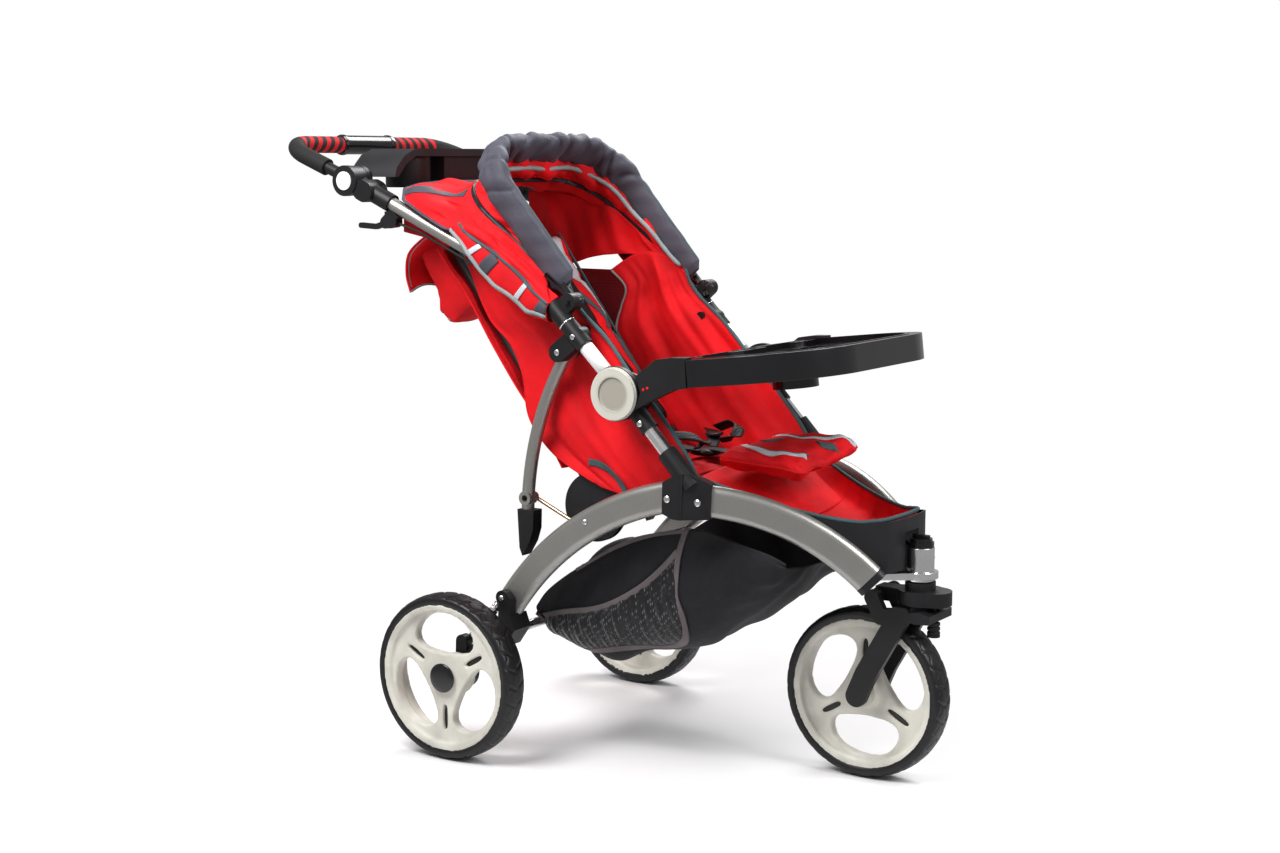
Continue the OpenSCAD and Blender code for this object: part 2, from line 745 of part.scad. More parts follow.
module canopy_mid_bow() color(charcoal) place() bow(mid_bow_a, bow_w + 6.6, 64);
module canopy_front_bow() color(charcoal) place() bow(front_bow_a, bow_w + 0.2, 30);

// Padded slate sleeve over the front bow
sleeve_thick = 10;
module canopy_sleeve() color(slate) place() bow_frame(front_bow_a - 2) difference() {
    translate([0, 0, -28]) linear_extrude(height = 48) difference() {
        bow_outline(sleeve_thick + 4, sleeve_thick);
        translate([-1, -300]) square([40, 600]);
    }
    // room for the arms of the middle bow
    translate([-1, -300, 2]) cube([81, 600, 40]);
}

// Gathered red cloth between the rear edge of the canopy and its middle bow
module canopy_cloth() color(red) place()
    translate(side(bow_axis, 0)) rotate([90, 0, 0]) rotate([0, 0, mid_bow_a + 5])
        rotate_extrude(angle = 7, $fn = 96) difference() {
            cloth_profile(3, 60);
            cloth_profile(0, 50);
        }
module cloth_profile(out, start) intersection() {
    u_shape(bow_w - 10 + out, bow_reach - 12 + out);
    translate([start, -500]) square([500, 1000]);
}

// ---- Child's tray ------------------------------------------------------------------------

module tray_frame() translate([tray_seat[0], 0, 714]) rotate([0, -tray_tilt, 0]) children();

tray_half = 260;
tray_reach = 243;
tray_round = 150;

module tray_plan(inset, x0 = 2) {
    half = tray_half - tray_round;
    translate([x0, -tray_half + inset]) square([tray_reach - tray_round - x0, 2 * (tray_half - inset)]);
    translate([x0, -half]) square([tray_reach - inset - x0, 2 * half]);
    for (s = [-1, 1]) translate([tray_reach - tray_round, s * half])
        circle(r = tray_round - inset, $fn = 72);
}

module tray_bar() color(black) place() tray_frame() union() {
    translate([0, 0, -23]) linear_extrude(height = 46) difference() {
        tray_plan(0);
        tray_plan(22, -10);
    }
    both_sides() translate([-26, -tray_half + 5, -9]) cube([40, 10, 18]);
}

well_x = 62;

// Moulded table with a cup well and a shallow snack hollow
module tray_top() color(black) place() tray_frame() difference() {
    union() {
        translate([0, 0, 6]) linear_extrude(height = 6) tray_plan(24, -34);
        translate([0, 0, 12]) linear_extrude(height = 12) difference() {
            tray_plan(24, -34);
            tray_plan(30, -28);
        }
        translate([well_x, 0, -50]) cylinder(r = well_r + 3, h = 60);
        for (s = [-1, 1]) translate([40, s * 110, 2]) cylinder(r = 62, h = 8);
    }
    translate([well_x, 0, -46]) cylinder(r = well_r, h = 100);
    for (s = [-1, 1]) translate([40, s * 110, 5]) cylinder(r = 57, h = 60);
}

// ---- Front fork and wheel ------------------------------------------------------------------

// Crown that swivels in the head tube
module fork_crown() color(black) place() difference() {
    union() {
        translate([head_x, 0, 342]) cylinder(r = 26, h = 14);
        translate([head_x, 0, 320]) cylinder(r = 14, h = 94.8);
        translate([0, 0, 318]) linear_extrude(height = 24) {
            translate([head_x + 2, 0]) circle(r = 40);
            translate([crown_x, 0]) circle(r = crown_nose);
            polygon([[694, -17], [726, -17], [780, -38], [780, 38], [726, 17], [694, 17]]);
        }
        disc(fork_axis, -17, 17, 13);
        translate([796, 0, 262]) cylinder(r = 4, h = 60);
        translate([796, 0, 262]) cylinder(r = 11, h = 4);
    }
    disc(fork_axis, -60, 60, pin_r + pin_gap);
}

module elastomer() color(rubber) place() difference() {
    translate([796, 0, 266.2]) union() {
        for (z = [0, 8, 16]) translate([0, 0, z]) cylinder(r = 11, h = 5);
        cylinder(r = 9, h = 21);
    }
    translate([796, 0, 250]) cylinder(r = 4.2, h = 60);
}

// Fork: two legs hung from the rear pin of the crown, joined by a bridge over the tyre
module fork_legs() color(black) place() difference() {
    union() {
        both_sides() {
            slab(-46, -33) stroke([[wheelbase, wheel_r], [690, 190], [752, 300]], 19);
            slab(-46, -33) stroke([fork_axis, [716, 296], [752, 300]], 13);
            slab(-34, -20) stroke([fork_axis, fork_axis + [2, -2]], 12);
        }
        slab(-46, 46) polygon([[746, 303], [790, 312], [808, 306], [808, 292], [782, 290], [752, 296]]);
        disc(fork_axis, -45, 45, pin_r);
        disc([wheelbase, wheel_r], -45, 45, 6);
    }
    translate([796, 0, 250]) cylinder(r = 9, h = 80);
    translate([head_x, 0, 316]) cylinder(r = 60, h = 60);
}

// Leaf-shaped opening between two spokes
module spoke_opening() polygon([
    for (t = [0 : 10 : 350]) let (r = 80 + 37 * cos(t), f = 47 * sin(t)) [r * cos(f), r * sin(f)]
]);

// Three-spoke wheel centred on the origin, axle along Y; the spokes start at plate_z
module rim(plate_z, bore, turn = 0) rotate([90, 0, 0]) difference() {
    half = tyre_w / 2;
    union() {
        rotate_extrude($fn = 96) polygon([
            [rim_r - 14, 2 - half], [rim_r, -half], [rim_r, 3 - half], [rim_r - 6, 10 - half],
            [rim_r - 6, half - 10], [rim_r, half - 3], [rim_r, half], [rim_r - 14, half - 2],
            [rim_r - 11, 0]
        ]);
        translate([0, 0, plate_z]) linear_extrude(height = 20) difference() {
            circle(r = rim_r - 10, $fn = 96);
            for (k = [0 : 2]) rotate(k * 120 + 30 + turn) spoke_opening();
        }
        translate([0, 0, -20]) cylinder(r = 27, h = 40);
    }
    for (k = [0 : 2]) rotate(k * 120 + 90 + turn) translate([0, 0, -20]) linear_extrude(height = 60)
        polygon([for (i = [0 : 17]) let (t = i * 20) [74 + 26 * cos(t), 4.5 * sin(t)]]);
    translate([0, 0, -60]) cylinder(r = bore, h = 120);
}

module tyre() rotate([90, 0, 0]) rotate_extrude($fn = 96) let (half = tyre_w / 2) polygon(concat(
    [[rim_r + 0.2, -half], [rim_r - 5.6, 10.4 - half], [rim_r - 5.6, half - 10.4], [rim_r + 0.2, half]],
    [for (a = [80 : -20 : -80]) [wheel_r - 12 + 12 * cos(a), (half - 1) * sin(a)]]
));

module front_rim() color(ivory) place() translate([wheelbase, 0, wheel_r]) {
    rim(-10, 6.05);
    rotate([90, 0, 0]) for (z = [-30, 20]) translate([0, 0, z]) difference() {
        cylinder(r = 14, h = 10);
        translate([0, 0, -1]) cylinder(r = 6.05, h = 12);
    }
}
module front_tyre() color(rubber) place() translate([wheelbase, 0, wheel_r]) tyre();

drum_in = 26;

// Rear wheel with its brake drum on the inner side and a cap on the outer side
module rear_rim(s) color(ivory) place() scale_side(s) translate([0, -wheel_y, wheel_r]) {
    rim(-2, 8.05, 60);
    rotate([90, 0, 0]) {
        difference() {
            translate([0, 0, -drum_in]) cylinder(r = 38, h = 20);
            translate([0, 0, -drum_in - 1]) cylinder(r = 33, h = 12);
            translate([0, 0, -drum_in - 1]) cylinder(r = 8.05, h = 40);
        }
        translate([0, 0, 20]) cylinder(r = 21, h = 5);
    }
}
module rear_rim_left() rear_rim(1);
module rear_rim_right() rear_rim(-1);
module rear_tyre(s) color(rubber) place() scale_side(s) translate([0, -wheel_y, wheel_r]) tyre();
module rear_tyre_left() rear_tyre(1);
module rear_tyre_right() rear_tyre(-1);

// Trailing arm with its pivot pin, brake plate, stub axle and spring lug
module rear_arm(s) color(black) place() scale_side(s) {
    axle = [0, wheel_r];
    inner = side_y + 34;
    outer = wheel_y - tyre_w / 2 - 2;
    slab(-outer, -inner) {
        stroke([arm_axis, axle], 15);
        stroke([axle, spring_foot], 12);
        translate(axle) circle(r = 30);
    }
    disc(arm_axis, -inner - 1, -side_y + 14, pin_r);
    disc(axle, -wheel_y - 18, -inner - 1, 8);
    disc(spring_foot, -inner - 1, -side_y - 14, 9);
}
module rear_arm_left() rear_arm(1);
module rear_arm_right() rear_arm(-1);

// Spring over its damper, between the arm's lug and the housing's upper pin
module rear_spring(s) color(silver) place() scale_side(s) {
    span = spring_pin - spring_foot;
    spring_a = atan2(span[1], span[0]);
    start = along(spring_foot, spring_a, 9.5);
    end = along(spring_pin, spring_a + 180, 14);
    spring_y = side_y + 24;
    bar(side(start, -spring_y), side(end, -spring_y), 5.5);
    for (d = [2.5 : 8.4 : norm(end - start)])
        translate(side(along(start, spring_a, d), -spring_y)) rotate([0, 90 - spring_a, 0])
            rotate_extrude($fn = 32) translate([6.8, 0]) circle(r = 1.7, $fn = 16);
}
module rear_spring_left() rear_spring(1);
module rear_spring_right() rear_spring(-1);

rear_arches();
front_arches();
arch_end_caps();
y_junctions();
lower_tubes();
fold_hubs();
hub_caps();
tray_connectors();
rear_beam();
rear_housings();
head_tube();
swivel_knob();
footwell_shell();
footwell_liner();
seat_base();
harness();
buckle_button();
side_panels();
basket();
chassis_screws();
upper_tubes();
upper_brackets();
handle_housings();
console();
brake_clamp();
brake_lever();
brake_cable();
side_wings();
canopy_cloth();
prop_struts();
strut_feet();
link_rods();
handlebar_tube();
foam_grips();
grip_barrel();
tilt_button_left();
tilt_button_right();
recline_hubs();
backrest_frame();
backrest_pad();
rear_pocket();
calf_pad();
canopy_mid_bow();
canopy_front_bow();
canopy_sleeve();
tray_bar();
tray_top();
fork_crown();
elastomer();
fork_legs();
front_rim();
front_tyre();
rear_arm_left();
rear_arm_right();
rear_spring_left();
rear_spring_right();
rear_rim_left();
rear_rim_right();
rear_tyre_left();
rear_tyre_right();
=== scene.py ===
import json
import math

import bmesh
import bpy
import numpy as np
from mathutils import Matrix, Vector
from mathutils.bvhtree import BVHTree


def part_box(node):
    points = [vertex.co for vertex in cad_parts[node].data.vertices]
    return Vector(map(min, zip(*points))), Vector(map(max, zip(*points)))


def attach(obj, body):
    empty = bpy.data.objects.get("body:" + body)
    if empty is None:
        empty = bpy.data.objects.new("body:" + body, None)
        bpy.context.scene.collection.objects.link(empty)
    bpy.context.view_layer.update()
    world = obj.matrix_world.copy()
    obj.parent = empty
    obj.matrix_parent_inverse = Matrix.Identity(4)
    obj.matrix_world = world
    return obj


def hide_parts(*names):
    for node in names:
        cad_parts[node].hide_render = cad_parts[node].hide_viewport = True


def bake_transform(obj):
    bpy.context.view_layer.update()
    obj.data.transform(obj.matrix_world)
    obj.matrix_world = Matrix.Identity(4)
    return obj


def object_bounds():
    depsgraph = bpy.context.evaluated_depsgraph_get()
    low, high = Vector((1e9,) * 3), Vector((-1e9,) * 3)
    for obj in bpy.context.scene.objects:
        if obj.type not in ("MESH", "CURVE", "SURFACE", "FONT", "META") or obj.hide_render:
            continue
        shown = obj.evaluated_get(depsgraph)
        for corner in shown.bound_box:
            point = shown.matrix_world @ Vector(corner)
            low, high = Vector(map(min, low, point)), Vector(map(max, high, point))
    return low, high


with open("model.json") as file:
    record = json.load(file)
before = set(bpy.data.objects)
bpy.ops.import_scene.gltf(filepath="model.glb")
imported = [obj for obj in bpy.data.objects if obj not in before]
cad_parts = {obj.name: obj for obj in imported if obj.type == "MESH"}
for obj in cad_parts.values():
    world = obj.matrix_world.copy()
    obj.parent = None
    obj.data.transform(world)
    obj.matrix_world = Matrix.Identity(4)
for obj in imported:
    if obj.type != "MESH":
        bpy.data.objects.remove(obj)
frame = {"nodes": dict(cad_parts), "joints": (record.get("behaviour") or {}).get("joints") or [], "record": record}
cad_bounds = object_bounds()

MM = 0.001
TURN = 2 * math.pi
JOINTS = {j["name"]: j for j in frame["joints"]}


def pivot(joint):
    """Pivot of a joint in the side view, as [x, z]."""
    pos = JOINTS[joint]["pos_m"]
    return np.array([pos[0], pos[2]])


def heading(degrees):
    """Unit vector in the side view, counted from forward towards up."""
    a = math.radians(degrees)
    return np.array([math.cos(a), math.sin(a)])


AXLE = pivot("rear_left_wheel_spin")
FOLD = pivot("fold")
HUB = pivot("seat_hub_turn")
BOW = pivot("canopy_open")
SIDES = {"right": -1, "left": 1}

# Headings of the handle tube, the backrest and the two canopy bows, in degrees
UPPER_A = 135.5
BACK_A = 126.0
FRONT_BOW_A = 132.0
MID_BOW_A = 143.0
ALONG = heading(UPPER_A)
TUBE_Y = 0.233


def tag(side):
    """Name of a side: -1 is the right, 1 is the left."""
    return "right" if side < 0 else "left"


# ---- Materials ---------------------------------------------------------------------------

MAT = {}


def add(tree, kind, inputs=None, **settings):
    """New shader node; each input takes a plain value or another node's output."""
    n = tree.nodes.new("ShaderNode" + kind)
    for key, value in settings.items():
        setattr(n, key, value)
    for key, value in (inputs or {}).items():
        if isinstance(value, bpy.types.NodeSocket):
            tree.links.new(value, n.inputs[key])
        else:
            n.inputs[key].default_value = value
    return n


def calc(tree, operation, *values):
    """Result of a maths node; each value is a number or another node's output."""
    return add(tree, "Math", dict(enumerate(values)), operation=operation).outputs[0]


def start_material(name, color, rough, metallic=0.0, sheen=0.0, coat=0.0):
    """New material, kept in MAT, with its node tree, its shader and its object coordinates."""
    mat = bpy.data.materials.new(name)
    MAT[name] = mat
    mat.use_nodes = True
    mat.diffuse_color = (*color, 1)
    tree = mat.node_tree
    shader = tree.nodes["Principled BSDF"]
    values = {"Base Color": (*color, 1), "Roughness": rough, "Metallic": metallic, "Sheen Weight": sheen,
              "Sheen Roughness": 0.4, "Coat Weight": coat, "Coat Roughness": 0.12}
    for key, value in values.items():
        shader.inputs[key].default_value = value
    return mat, tree, shader, add(tree, "TexCoord").outputs["Object"]


def noise_of(tree, place, scale, detail=3.0):
    """Noise as a value from 0 to 1."""
    return add(tree, "TexNoise", {"Scale": scale, "Detail": detail, "Vector": place}).outputs["Fac"]


def ramp(tree, value, low, high, at=(0.35, 0.65)):
    """Colour ramp between two colours, driven by value."""
    n = add(tree, "ValToRGB", {"Fac": value})
    for element, position, color in zip(n.color_ramp.elements, at, (low, high)):
        element.position = position
        element.color = (*color, 1)
    return n.outputs["Color"]


def spread(tree, value, low, high):
    """Value mapped from 0..1 to low..high."""
    return add(tree, "MapRange", {"Value": value, "To Min": low, "To Max": high}).outputs["Result"]


def bump(tree, shader, height, strength, distance, below=None):
    """Relief on a shader; below is a coarser relief that stays under it."""
    inputs = {"Strength": strength, "Distance": distance, "Height": height}
    if below is not None:
        inputs["Normal"] = below
    normal = add(tree, "Bump", inputs).outputs["Normal"]
    tree.links.new(normal, shader.inputs["Normal"])
    return normal


def shade(color, k):
    """A colour made k times as bright."""
    return tuple(min(1.0, c * k) for c in color)


def paint(tree, shader, tone, rough=None):
    """Feeds a colour, and if given a roughness, into a shader."""
    tree.links.new(tone, shader.inputs["Base Color"])
    if rough is not None:
        tree.links.new(rough, shader.inputs["Roughness"])


def weave_of(tree, place, pitch):
    """Woven height field: three crossed sets of threads, so it shows on any face."""
    total = None
    for direction in "XYZ":
        inputs = {"Scale": 0.159 / pitch, "Distortion": 0.6, "Detail": 1.0, "Vector": place}
        wave = add(tree, "TexWave", inputs, wave_type="BANDS", bands_direction=direction).outputs["Fac"]
        total = wave if total is None else calc(tree, "MULTIPLY_ADD", wave, 0.6, total)
    return total


def fabric(name, color, pitch=0.0011, rough=0.78, sheen=0.25, weave=0.35):
    """Woven cloth: thread relief, soft creases and slow colour change."""
    _, tree, shader, place = start_material(name, color, rough, sheen=sheen)
    tone = ramp(tree, noise_of(tree, place, 9.0, 4.0), shade(color, 0.80), shade(color, 1.10))
    paint(tree, shader, tone, spread(tree, noise_of(tree, place, 60.0), rough - 0.1, rough + 0.1))
    shader.inputs["Sheen Tint"].default_value = (*shade(color, 1.6), 1)
    creases = bump(tree, shader, noise_of(tree, place, 26.0, 5.0), 0.35, 0.004)
    bump(tree, shader, weave_of(tree, place, pitch), weave, 0.0004, creases)


def plastic(name, color, rough, grain=0.12, coat=0.0, grain_scale=900.0):
    """Moulded plastic: fine grain, faint flow marks and uneven gloss."""
    mat, tree, shader, place = start_material(name, color, rough, coat=coat)
    tone = ramp(tree, noise_of(tree, place, 14.0), shade(color, 0.85), shade(color, 1.15))
    paint(tree, shader, tone, spread(tree, noise_of(tree, place, 35.0), rough - 0.06, rough + 0.08))
    bump(tree, shader, noise_of(tree, place, grain_scale), grain, 0.0003)
    return mat


def metal(name, color, rough, metallic=1.0, coat=0.0, grain=0.05):
    """Painted or bare metal: fine speckle, handling marks and worn edges."""
    _, tree, shader, place = start_material(name, color, rough, metallic, coat=coat)
    worn = add(tree, "NewGeometry").outputs["Pointiness"]
    tone = ramp(tree, worn, shade(color, 0.92), shade(color, 1.25), (0.50, 0.58))
    speck = ramp(tree, noise_of(tree, place, 650.0), shade(color, 0.90), shade(color, 1.08))
    mix = add(tree, "Mix", {"Factor": 0.5, "A": tone, "B": speck}, data_type="RGBA")
    paint(tree, shader, mix.outputs["Result"],
          spread(tree, noise_of(tree, place, 22.0, 5.0), rough - 0.07, rough + 0.09))
    bump(tree, shader, noise_of(tree, place, 800.0), grain, 0.0002)


def net(name, color):
    """Ribbed net: fine dark rods with rows of small see-through holes."""
    _, tree, shader, place = start_material(name, color, 0.5, sheen=0.4)
    turned_place = add(tree, "Mapping", {"Rotation": (0, math.radians(18), 0), "Scale": (1, 1, 0.35),
                                         "Vector": place}).outputs["Vector"]
    holes = add(tree, "TexVoronoi", {"Scale": 230.0, "Randomness": 0.35, "Vector": turned_place})
    paint(tree, shader, ramp(tree, holes.outputs["Distance"], (0.20, 0.20, 0.22), color, (0.10, 0.34)))
    rods = add(tree, "TexWave", {"Scale": 26.0, "Distortion": 0.8, "Vector": turned_place},
               wave_type="BANDS", bands_direction="X")
    under = bump(tree, shader, rods.outputs["Fac"], 0.9, 0.0016)
    bump(tree, shader, holes.outputs["Distance"], 0.8, 0.0012, under)


def start_patterned(mat):
    """Tree, shader and separate coordinates of a finished material that gets a pattern."""
    tree = mat.node_tree
    place = add(tree, "TexCoord").outputs["Object"]
    return tree, tree.nodes["Principled BSDF"], add(tree, "SeparateXYZ", {"Vector": place}).outputs


def striped_foam(name, color, stripe, pitch=0.0235, reach=0.196):
    """Foam grip with slanted red stripes on the cross bar, out to a reach from the middle."""
    mat = plastic(name, color, 0.75, grain=0.6, grain_scale=1400.0)
    tree, shader, split = start_patterned(mat)
    away = calc(tree, "ABSOLUTE", split["Y"])
    slant = calc(tree, "MULTIPLY_ADD", split["Z"], 0.45, away)
    wave = calc(tree, "SINE", calc(tree, "MULTIPLY", slant, TURN / pitch))
    sharp = add(tree, "MapRange", {"From Min": -0.05, "From Max": 0.05, "Value": wave}).outputs["Result"]
    mask = calc(tree, "MULTIPLY", sharp, calc(tree, "LESS_THAN", away, reach))
    mix = add(tree, "Mix", {"Factor": mask, "A": (*color, 1), "B": (*stripe, 1)}, data_type="RGBA")
    paint(tree, shader, mix.outputs["Result"])


def ringed_cover(name, rim, middle):
    """Ivory pivot cover whose pressed middle is darker."""
    mat = plastic(name, rim, 0.42, grain=0.05)
    tree, shader, split = start_patterned(mat)
    squares = []
    for axis, value in zip("XZ", FOLD):
        shift = calc(tree, "SUBTRACT", split[axis], float(value))
        squares.append(calc(tree, "MULTIPLY", shift, shift))
    radius = calc(tree, "SQRT", calc(tree, "ADD", *squares))
    fade = add(tree, "MapRange", {"From Min": 0.022, "From Max": 0.036, "Value": radius},
               interpolation_type="SMOOTHSTEP")
    paint(tree, shader, ramp(tree, fade.outputs["Result"], middle, rim, (0.0, 1.0)))


RED = (0.74, 0.004, 0.012)
SLATE = (0.088, 0.087, 0.112)
IVORY = (0.60, 0.585, 0.53)
fabric("red_fabric", RED, sheen=0.12)
fabric("red_mesh", (0.22, 0.003, 0.01), pitch=0.003, weave=0.9)
fabric("slate_fabric", SLATE, rough=0.62, sheen=0.4)
fabric("teal_binding", (0.075, 0.125, 0.135), pitch=0.0014)
fabric("grey_binding", (0.30, 0.34, 0.34), pitch=0.0014, rough=0.6)
fabric("mauve_binding", (0.17, 0.145, 0.15), pitch=0.0014)
fabric("reflective", (0.60, 0.64, 0.68), pitch=0.0008, rough=0.42, weave=0.1)
fabric("black_fabric", (0.014, 0.014, 0.018), rough=0.7, sheen=0.3)
fabric("webbing", (0.010, 0.010, 0.012), pitch=0.0022, rough=0.6, weave=0.8)
metal("silver_paint", (0.40, 0.395, 0.375), 0.36, metallic=0.75, coat=0.25)
metal("bright_alu", (0.86, 0.86, 0.87), 0.2)
metal("bright_sleeve", (0.93, 0.93, 0.92), 0.34, metallic=0.35)
metal("steel", (0.72, 0.72, 0.72), 0.26)
metal("copper_steel", (0.66, 0.48, 0.34), 0.3)
plastic("black_plastic", (0.016, 0.016, 0.018), 0.42)
plastic("gloss_black", (0.008, 0.008, 0.010), 0.2, grain=0.03, coat=0.6)
plastic("charcoal_plastic", (0.022, 0.021, 0.024), 0.46)
plastic("ivory_plastic", IVORY, 0.42, grain=0.05)
plastic("white_plastic", (0.85, 0.85, 0.85), 0.3, grain=0.02)
plastic("red_plastic", (0.62, 0.01, 0.02), 0.3, grain=0.02)
# slot_shadow: painted shade for the recesses of the wheels' spoke slots
plastic("slot_shadow", (0.035, 0.034, 0.030), 0.5)
plastic("rubber", (0.014, 0.014, 0.014), 0.6, grain=0.2)
plastic("tyre", (0.016, 0.015, 0.017), 0.38, grain=0.25, grain_scale=420.0)
striped_foam("foam", (0.018, 0.018, 0.019), (0.55, 0.012, 0.02))
net("net", (0.012, 0.012, 0.014))
ringed_cover("pivot_cover", IVORY, (0.40, 0.375, 0.33))


def smooth_shading(mesh):
    mesh.polygons.foreach_set("use_smooth", [True] * len(mesh.polygons))


def dress_cad_nodes():
    """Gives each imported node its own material, with softened edges for the highlights."""
    slots = {s["node"]: s["material_slot"] for s in frame["record"]["subparts"]}
    for name, obj in frame["nodes"].items():
        obj.data.materials.clear()
        obj.data.materials.append(MAT["pivot_cover" if name == "hub_caps" else slots[name]])
        smooth_shading(obj.data)
        weld = obj.modifiers.new("weld", "WELD")
        weld.merge_threshold = 0.00001
        bevel = obj.modifiers.new("bevel", "BEVEL")
        bevel.width = 0.0009
        bevel.segments = 2
        bevel.limit_method = "ANGLE"
        bevel.angle_limit = math.radians(38)
        bevel.harden_normals = False
        smooth = obj.modifiers.new("normals", "WEIGHTED_NORMAL")
        smooth.keep_sharp = True


dress_cad_nodes()

# ---- Stage --------------------------------------------------------------------------------

def new_in_scene(name, data):
    """New object in the scene that shows some data."""
    obj = bpy.data.objects.new(name, data)
    bpy.context.scene.collection.objects.link(obj)
    return obj


def surround_level(tree):
    """White of the surround: full for the camera, softer as a light on the stroller."""
    return spread(tree, add(tree, "LightPath").outputs["Is Camera Ray"], 0.42, 1.0)


def build_stage():
    """Pale floor that fades into a white surround."""
    mesh = bpy.data.meshes.new("floor")
    bm = bmesh.new()
    bmesh.ops.create_circle(bm, cap_ends=True, segments=96, radius=30)
    bm.to_mesh(mesh)
    bm.free()
    floor = new_in_scene("floor", mesh)
    mat, tree, shader, place = start_material("floor", (0.86, 0.85, 0.86), 0.55)
    distance = add(tree, "VectorMath", {0: place}, operation="LENGTH").outputs["Value"]
    far = add(tree, "MapRange", {"From Min": 0.55, "From Max": 1.35, "Value": distance},
              interpolation_type="SMOOTHSTEP")
    glow = add(tree, "Emission", {"Color": (1, 1, 1, 1), "Strength": surround_level(tree)})
    mix = add(tree, "MixShader", {"Fac": far.outputs["Result"], 1: shader.outputs["BSDF"],
                                  2: glow.outputs["Emission"]})
    tree.links.new(mix.outputs["Shader"], tree.nodes["Material Output"].inputs["Surface"])
    tree.links.new(spread(tree, noise_of(tree, place, 3.0), 0.5, 0.62), shader.inputs["Roughness"])
    mesh.materials.append(mat)


def look_at(obj, aim, azimuth, elevation, distance):
    """Puts a lamp or the camera at a distance from its aim; azimuth 0 looks along +Y."""
    a, e = math.radians(azimuth), math.radians(elevation)
    back = Vector((math.sin(a) * math.cos(e), -math.cos(a) * math.cos(e), math.sin(e)))
    obj.location = aim + back * distance
    obj.rotation_mode = "QUATERNION"
    obj.rotation_quaternion = (-back).to_track_quat("-Z", "Y")


def build_light():
    """White surround and three soft lamps."""
    world = bpy.data.worlds.new("studio")
    bpy.context.scene.world = world
    world.use_nodes = True
    tree = world.node_tree
    background = tree.nodes["Background"]
    background.inputs["Color"].default_value = (1.0, 1.0, 1.0, 1)
    tree.links.new(surround_level(tree), background.inputs["Strength"])
    for name, azimuth, elevation, distance, size, power in [
        ("key", -15, 48, 2.6, 1.3, 74),
        ("side", 88, 30, 2.6, 1.2, 40),
        ("back", 190, 50, 2.8, 1.4, 56),
    ]:
        data = bpy.data.lights.new(name, "AREA")
        data.energy = power
        data.size = size
        look_at(new_in_scene(name, data), Vector((0, 0, 0.55)), azimuth, elevation, distance)


def build_camera():
    """Camera at the three-quarter front view, aimed near the middle of the stroller."""
    lo, hi = cad_bounds
    aim = (lo + hi) / 2 + Vector((0.0145, 0.0122, 0.577 - (lo.z + hi.z) / 2))
    data = bpy.data.cameras.new("camera")
    data.lens = 55.68
    data.sensor_width = 36
    camera = new_in_scene("camera", data)
    look_at(camera, aim, 32.97, 7.67, 3.656)
    bpy.context.scene.camera = camera


build_stage()
build_light()
build_camera()
bpy.context.scene.view_settings.view_transform = "Standard"
bpy.context.scene.view_settings.gamma = 0.84

# ---- Mesh helpers -------------------------------------------------------------------------

def mm_points(points):
    """Points counted from the rear axle, the middle and the floor, in mm, as metres."""
    p = np.array(points, float) * MM
    p[..., 0] += AXLE[0]
    return p


def mirrored(points, side):
    """Points given for the right side, put on the given side."""
    p = np.array(points, float)
    p[..., 1] *= -side
    return p


def side_points(points, side):
    """Right-side points in mm, on the given side, as metres."""
    return mm_points(mirrored(points, side))


def unit(vectors):
    """Vectors scaled to length one."""
    return vectors / np.linalg.norm(vectors, axis=-1, keepdims=True)


def travelled(path):
    """Length along a path up to each of its points."""
    return np.concatenate([[0], np.cumsum(np.linalg.norm(np.diff(path, axis=0), axis=1))])


def resample(points, count):
    """Evenly spaced points on a polyline."""
    p = np.array(points, float)
    length = travelled(p)
    even = np.linspace(0, length[-1], count)
    return np.stack([np.interp(even, length, p[:, k]) for k in range(3)], axis=1)


def curve(points, count):
    """Smooth curve through the points, with evenly spaced output points."""
    p = np.array(points, float)
    if len(p) == 2:
        t = np.linspace(0, 1, count)[:, None]
        return p[0] * (1 - t) + p[1] * t
    knots = np.concatenate([[0], np.cumsum(np.sqrt(np.linalg.norm(np.diff(p, axis=0), axis=1)) + 1e-9)])
    slopes = np.gradient(p, knots, axis=0)
    t = np.linspace(0, knots[-1], count * 6)
    i = np.clip(np.searchsorted(knots, t, side="right") - 1, 0, len(p) - 2)
    h = (knots[i + 1] - knots[i])[:, None]
    u = ((t - knots[i])[:, None]) / h
    dense = ((2 * u**3 - 3 * u**2 + 1) * p[i] + (u**3 - 2 * u**2 + u) * h * slopes[i]
             + (3 * u**2 - 2 * u**3) * p[i + 1] + (u**3 - u**2) * h * slopes[i + 1])
    return resample(dense, count)


def surface(rows, down, along):
    """Grid of points on the smooth surface through a few control rows."""
    grid = np.array([curve(row, along) for row in rows])
    return np.stack([curve(grid[:, j], down) for j in range(along)], axis=1)


def grid_normals(grid):
    """Unit normals at the points of a grid."""
    n = np.cross(np.gradient(grid, axis=0), np.gradient(grid, axis=1))
    return n / np.maximum(np.linalg.norm(n, axis=2, keepdims=True), 1e-12)


def ripple(grid, amount, pattern, seed=0.0, pinned=0.12):
    """Folds of cloth: crossed sine waves that fade out towards the sewn edges."""
    n, m = grid.shape[:2]
    v, u = np.meshgrid(np.linspace(0, 1, n), np.linspace(0, 1, m), indexing="ij")
    total = np.zeros((n, m))
    for k, (a, b, gain) in enumerate(pattern):
        total += gain * np.sin(TURN * (a * u + b * v) + 1.7 * k + seed)
    fade = np.ones((n, m))
    for t in (u, v):
        fade *= np.clip(np.minimum(t, 1 - t) / pinned, 0, 1) ** 0.7
    return grid + grid_normals(grid) * (amount * total * fade)[..., None]


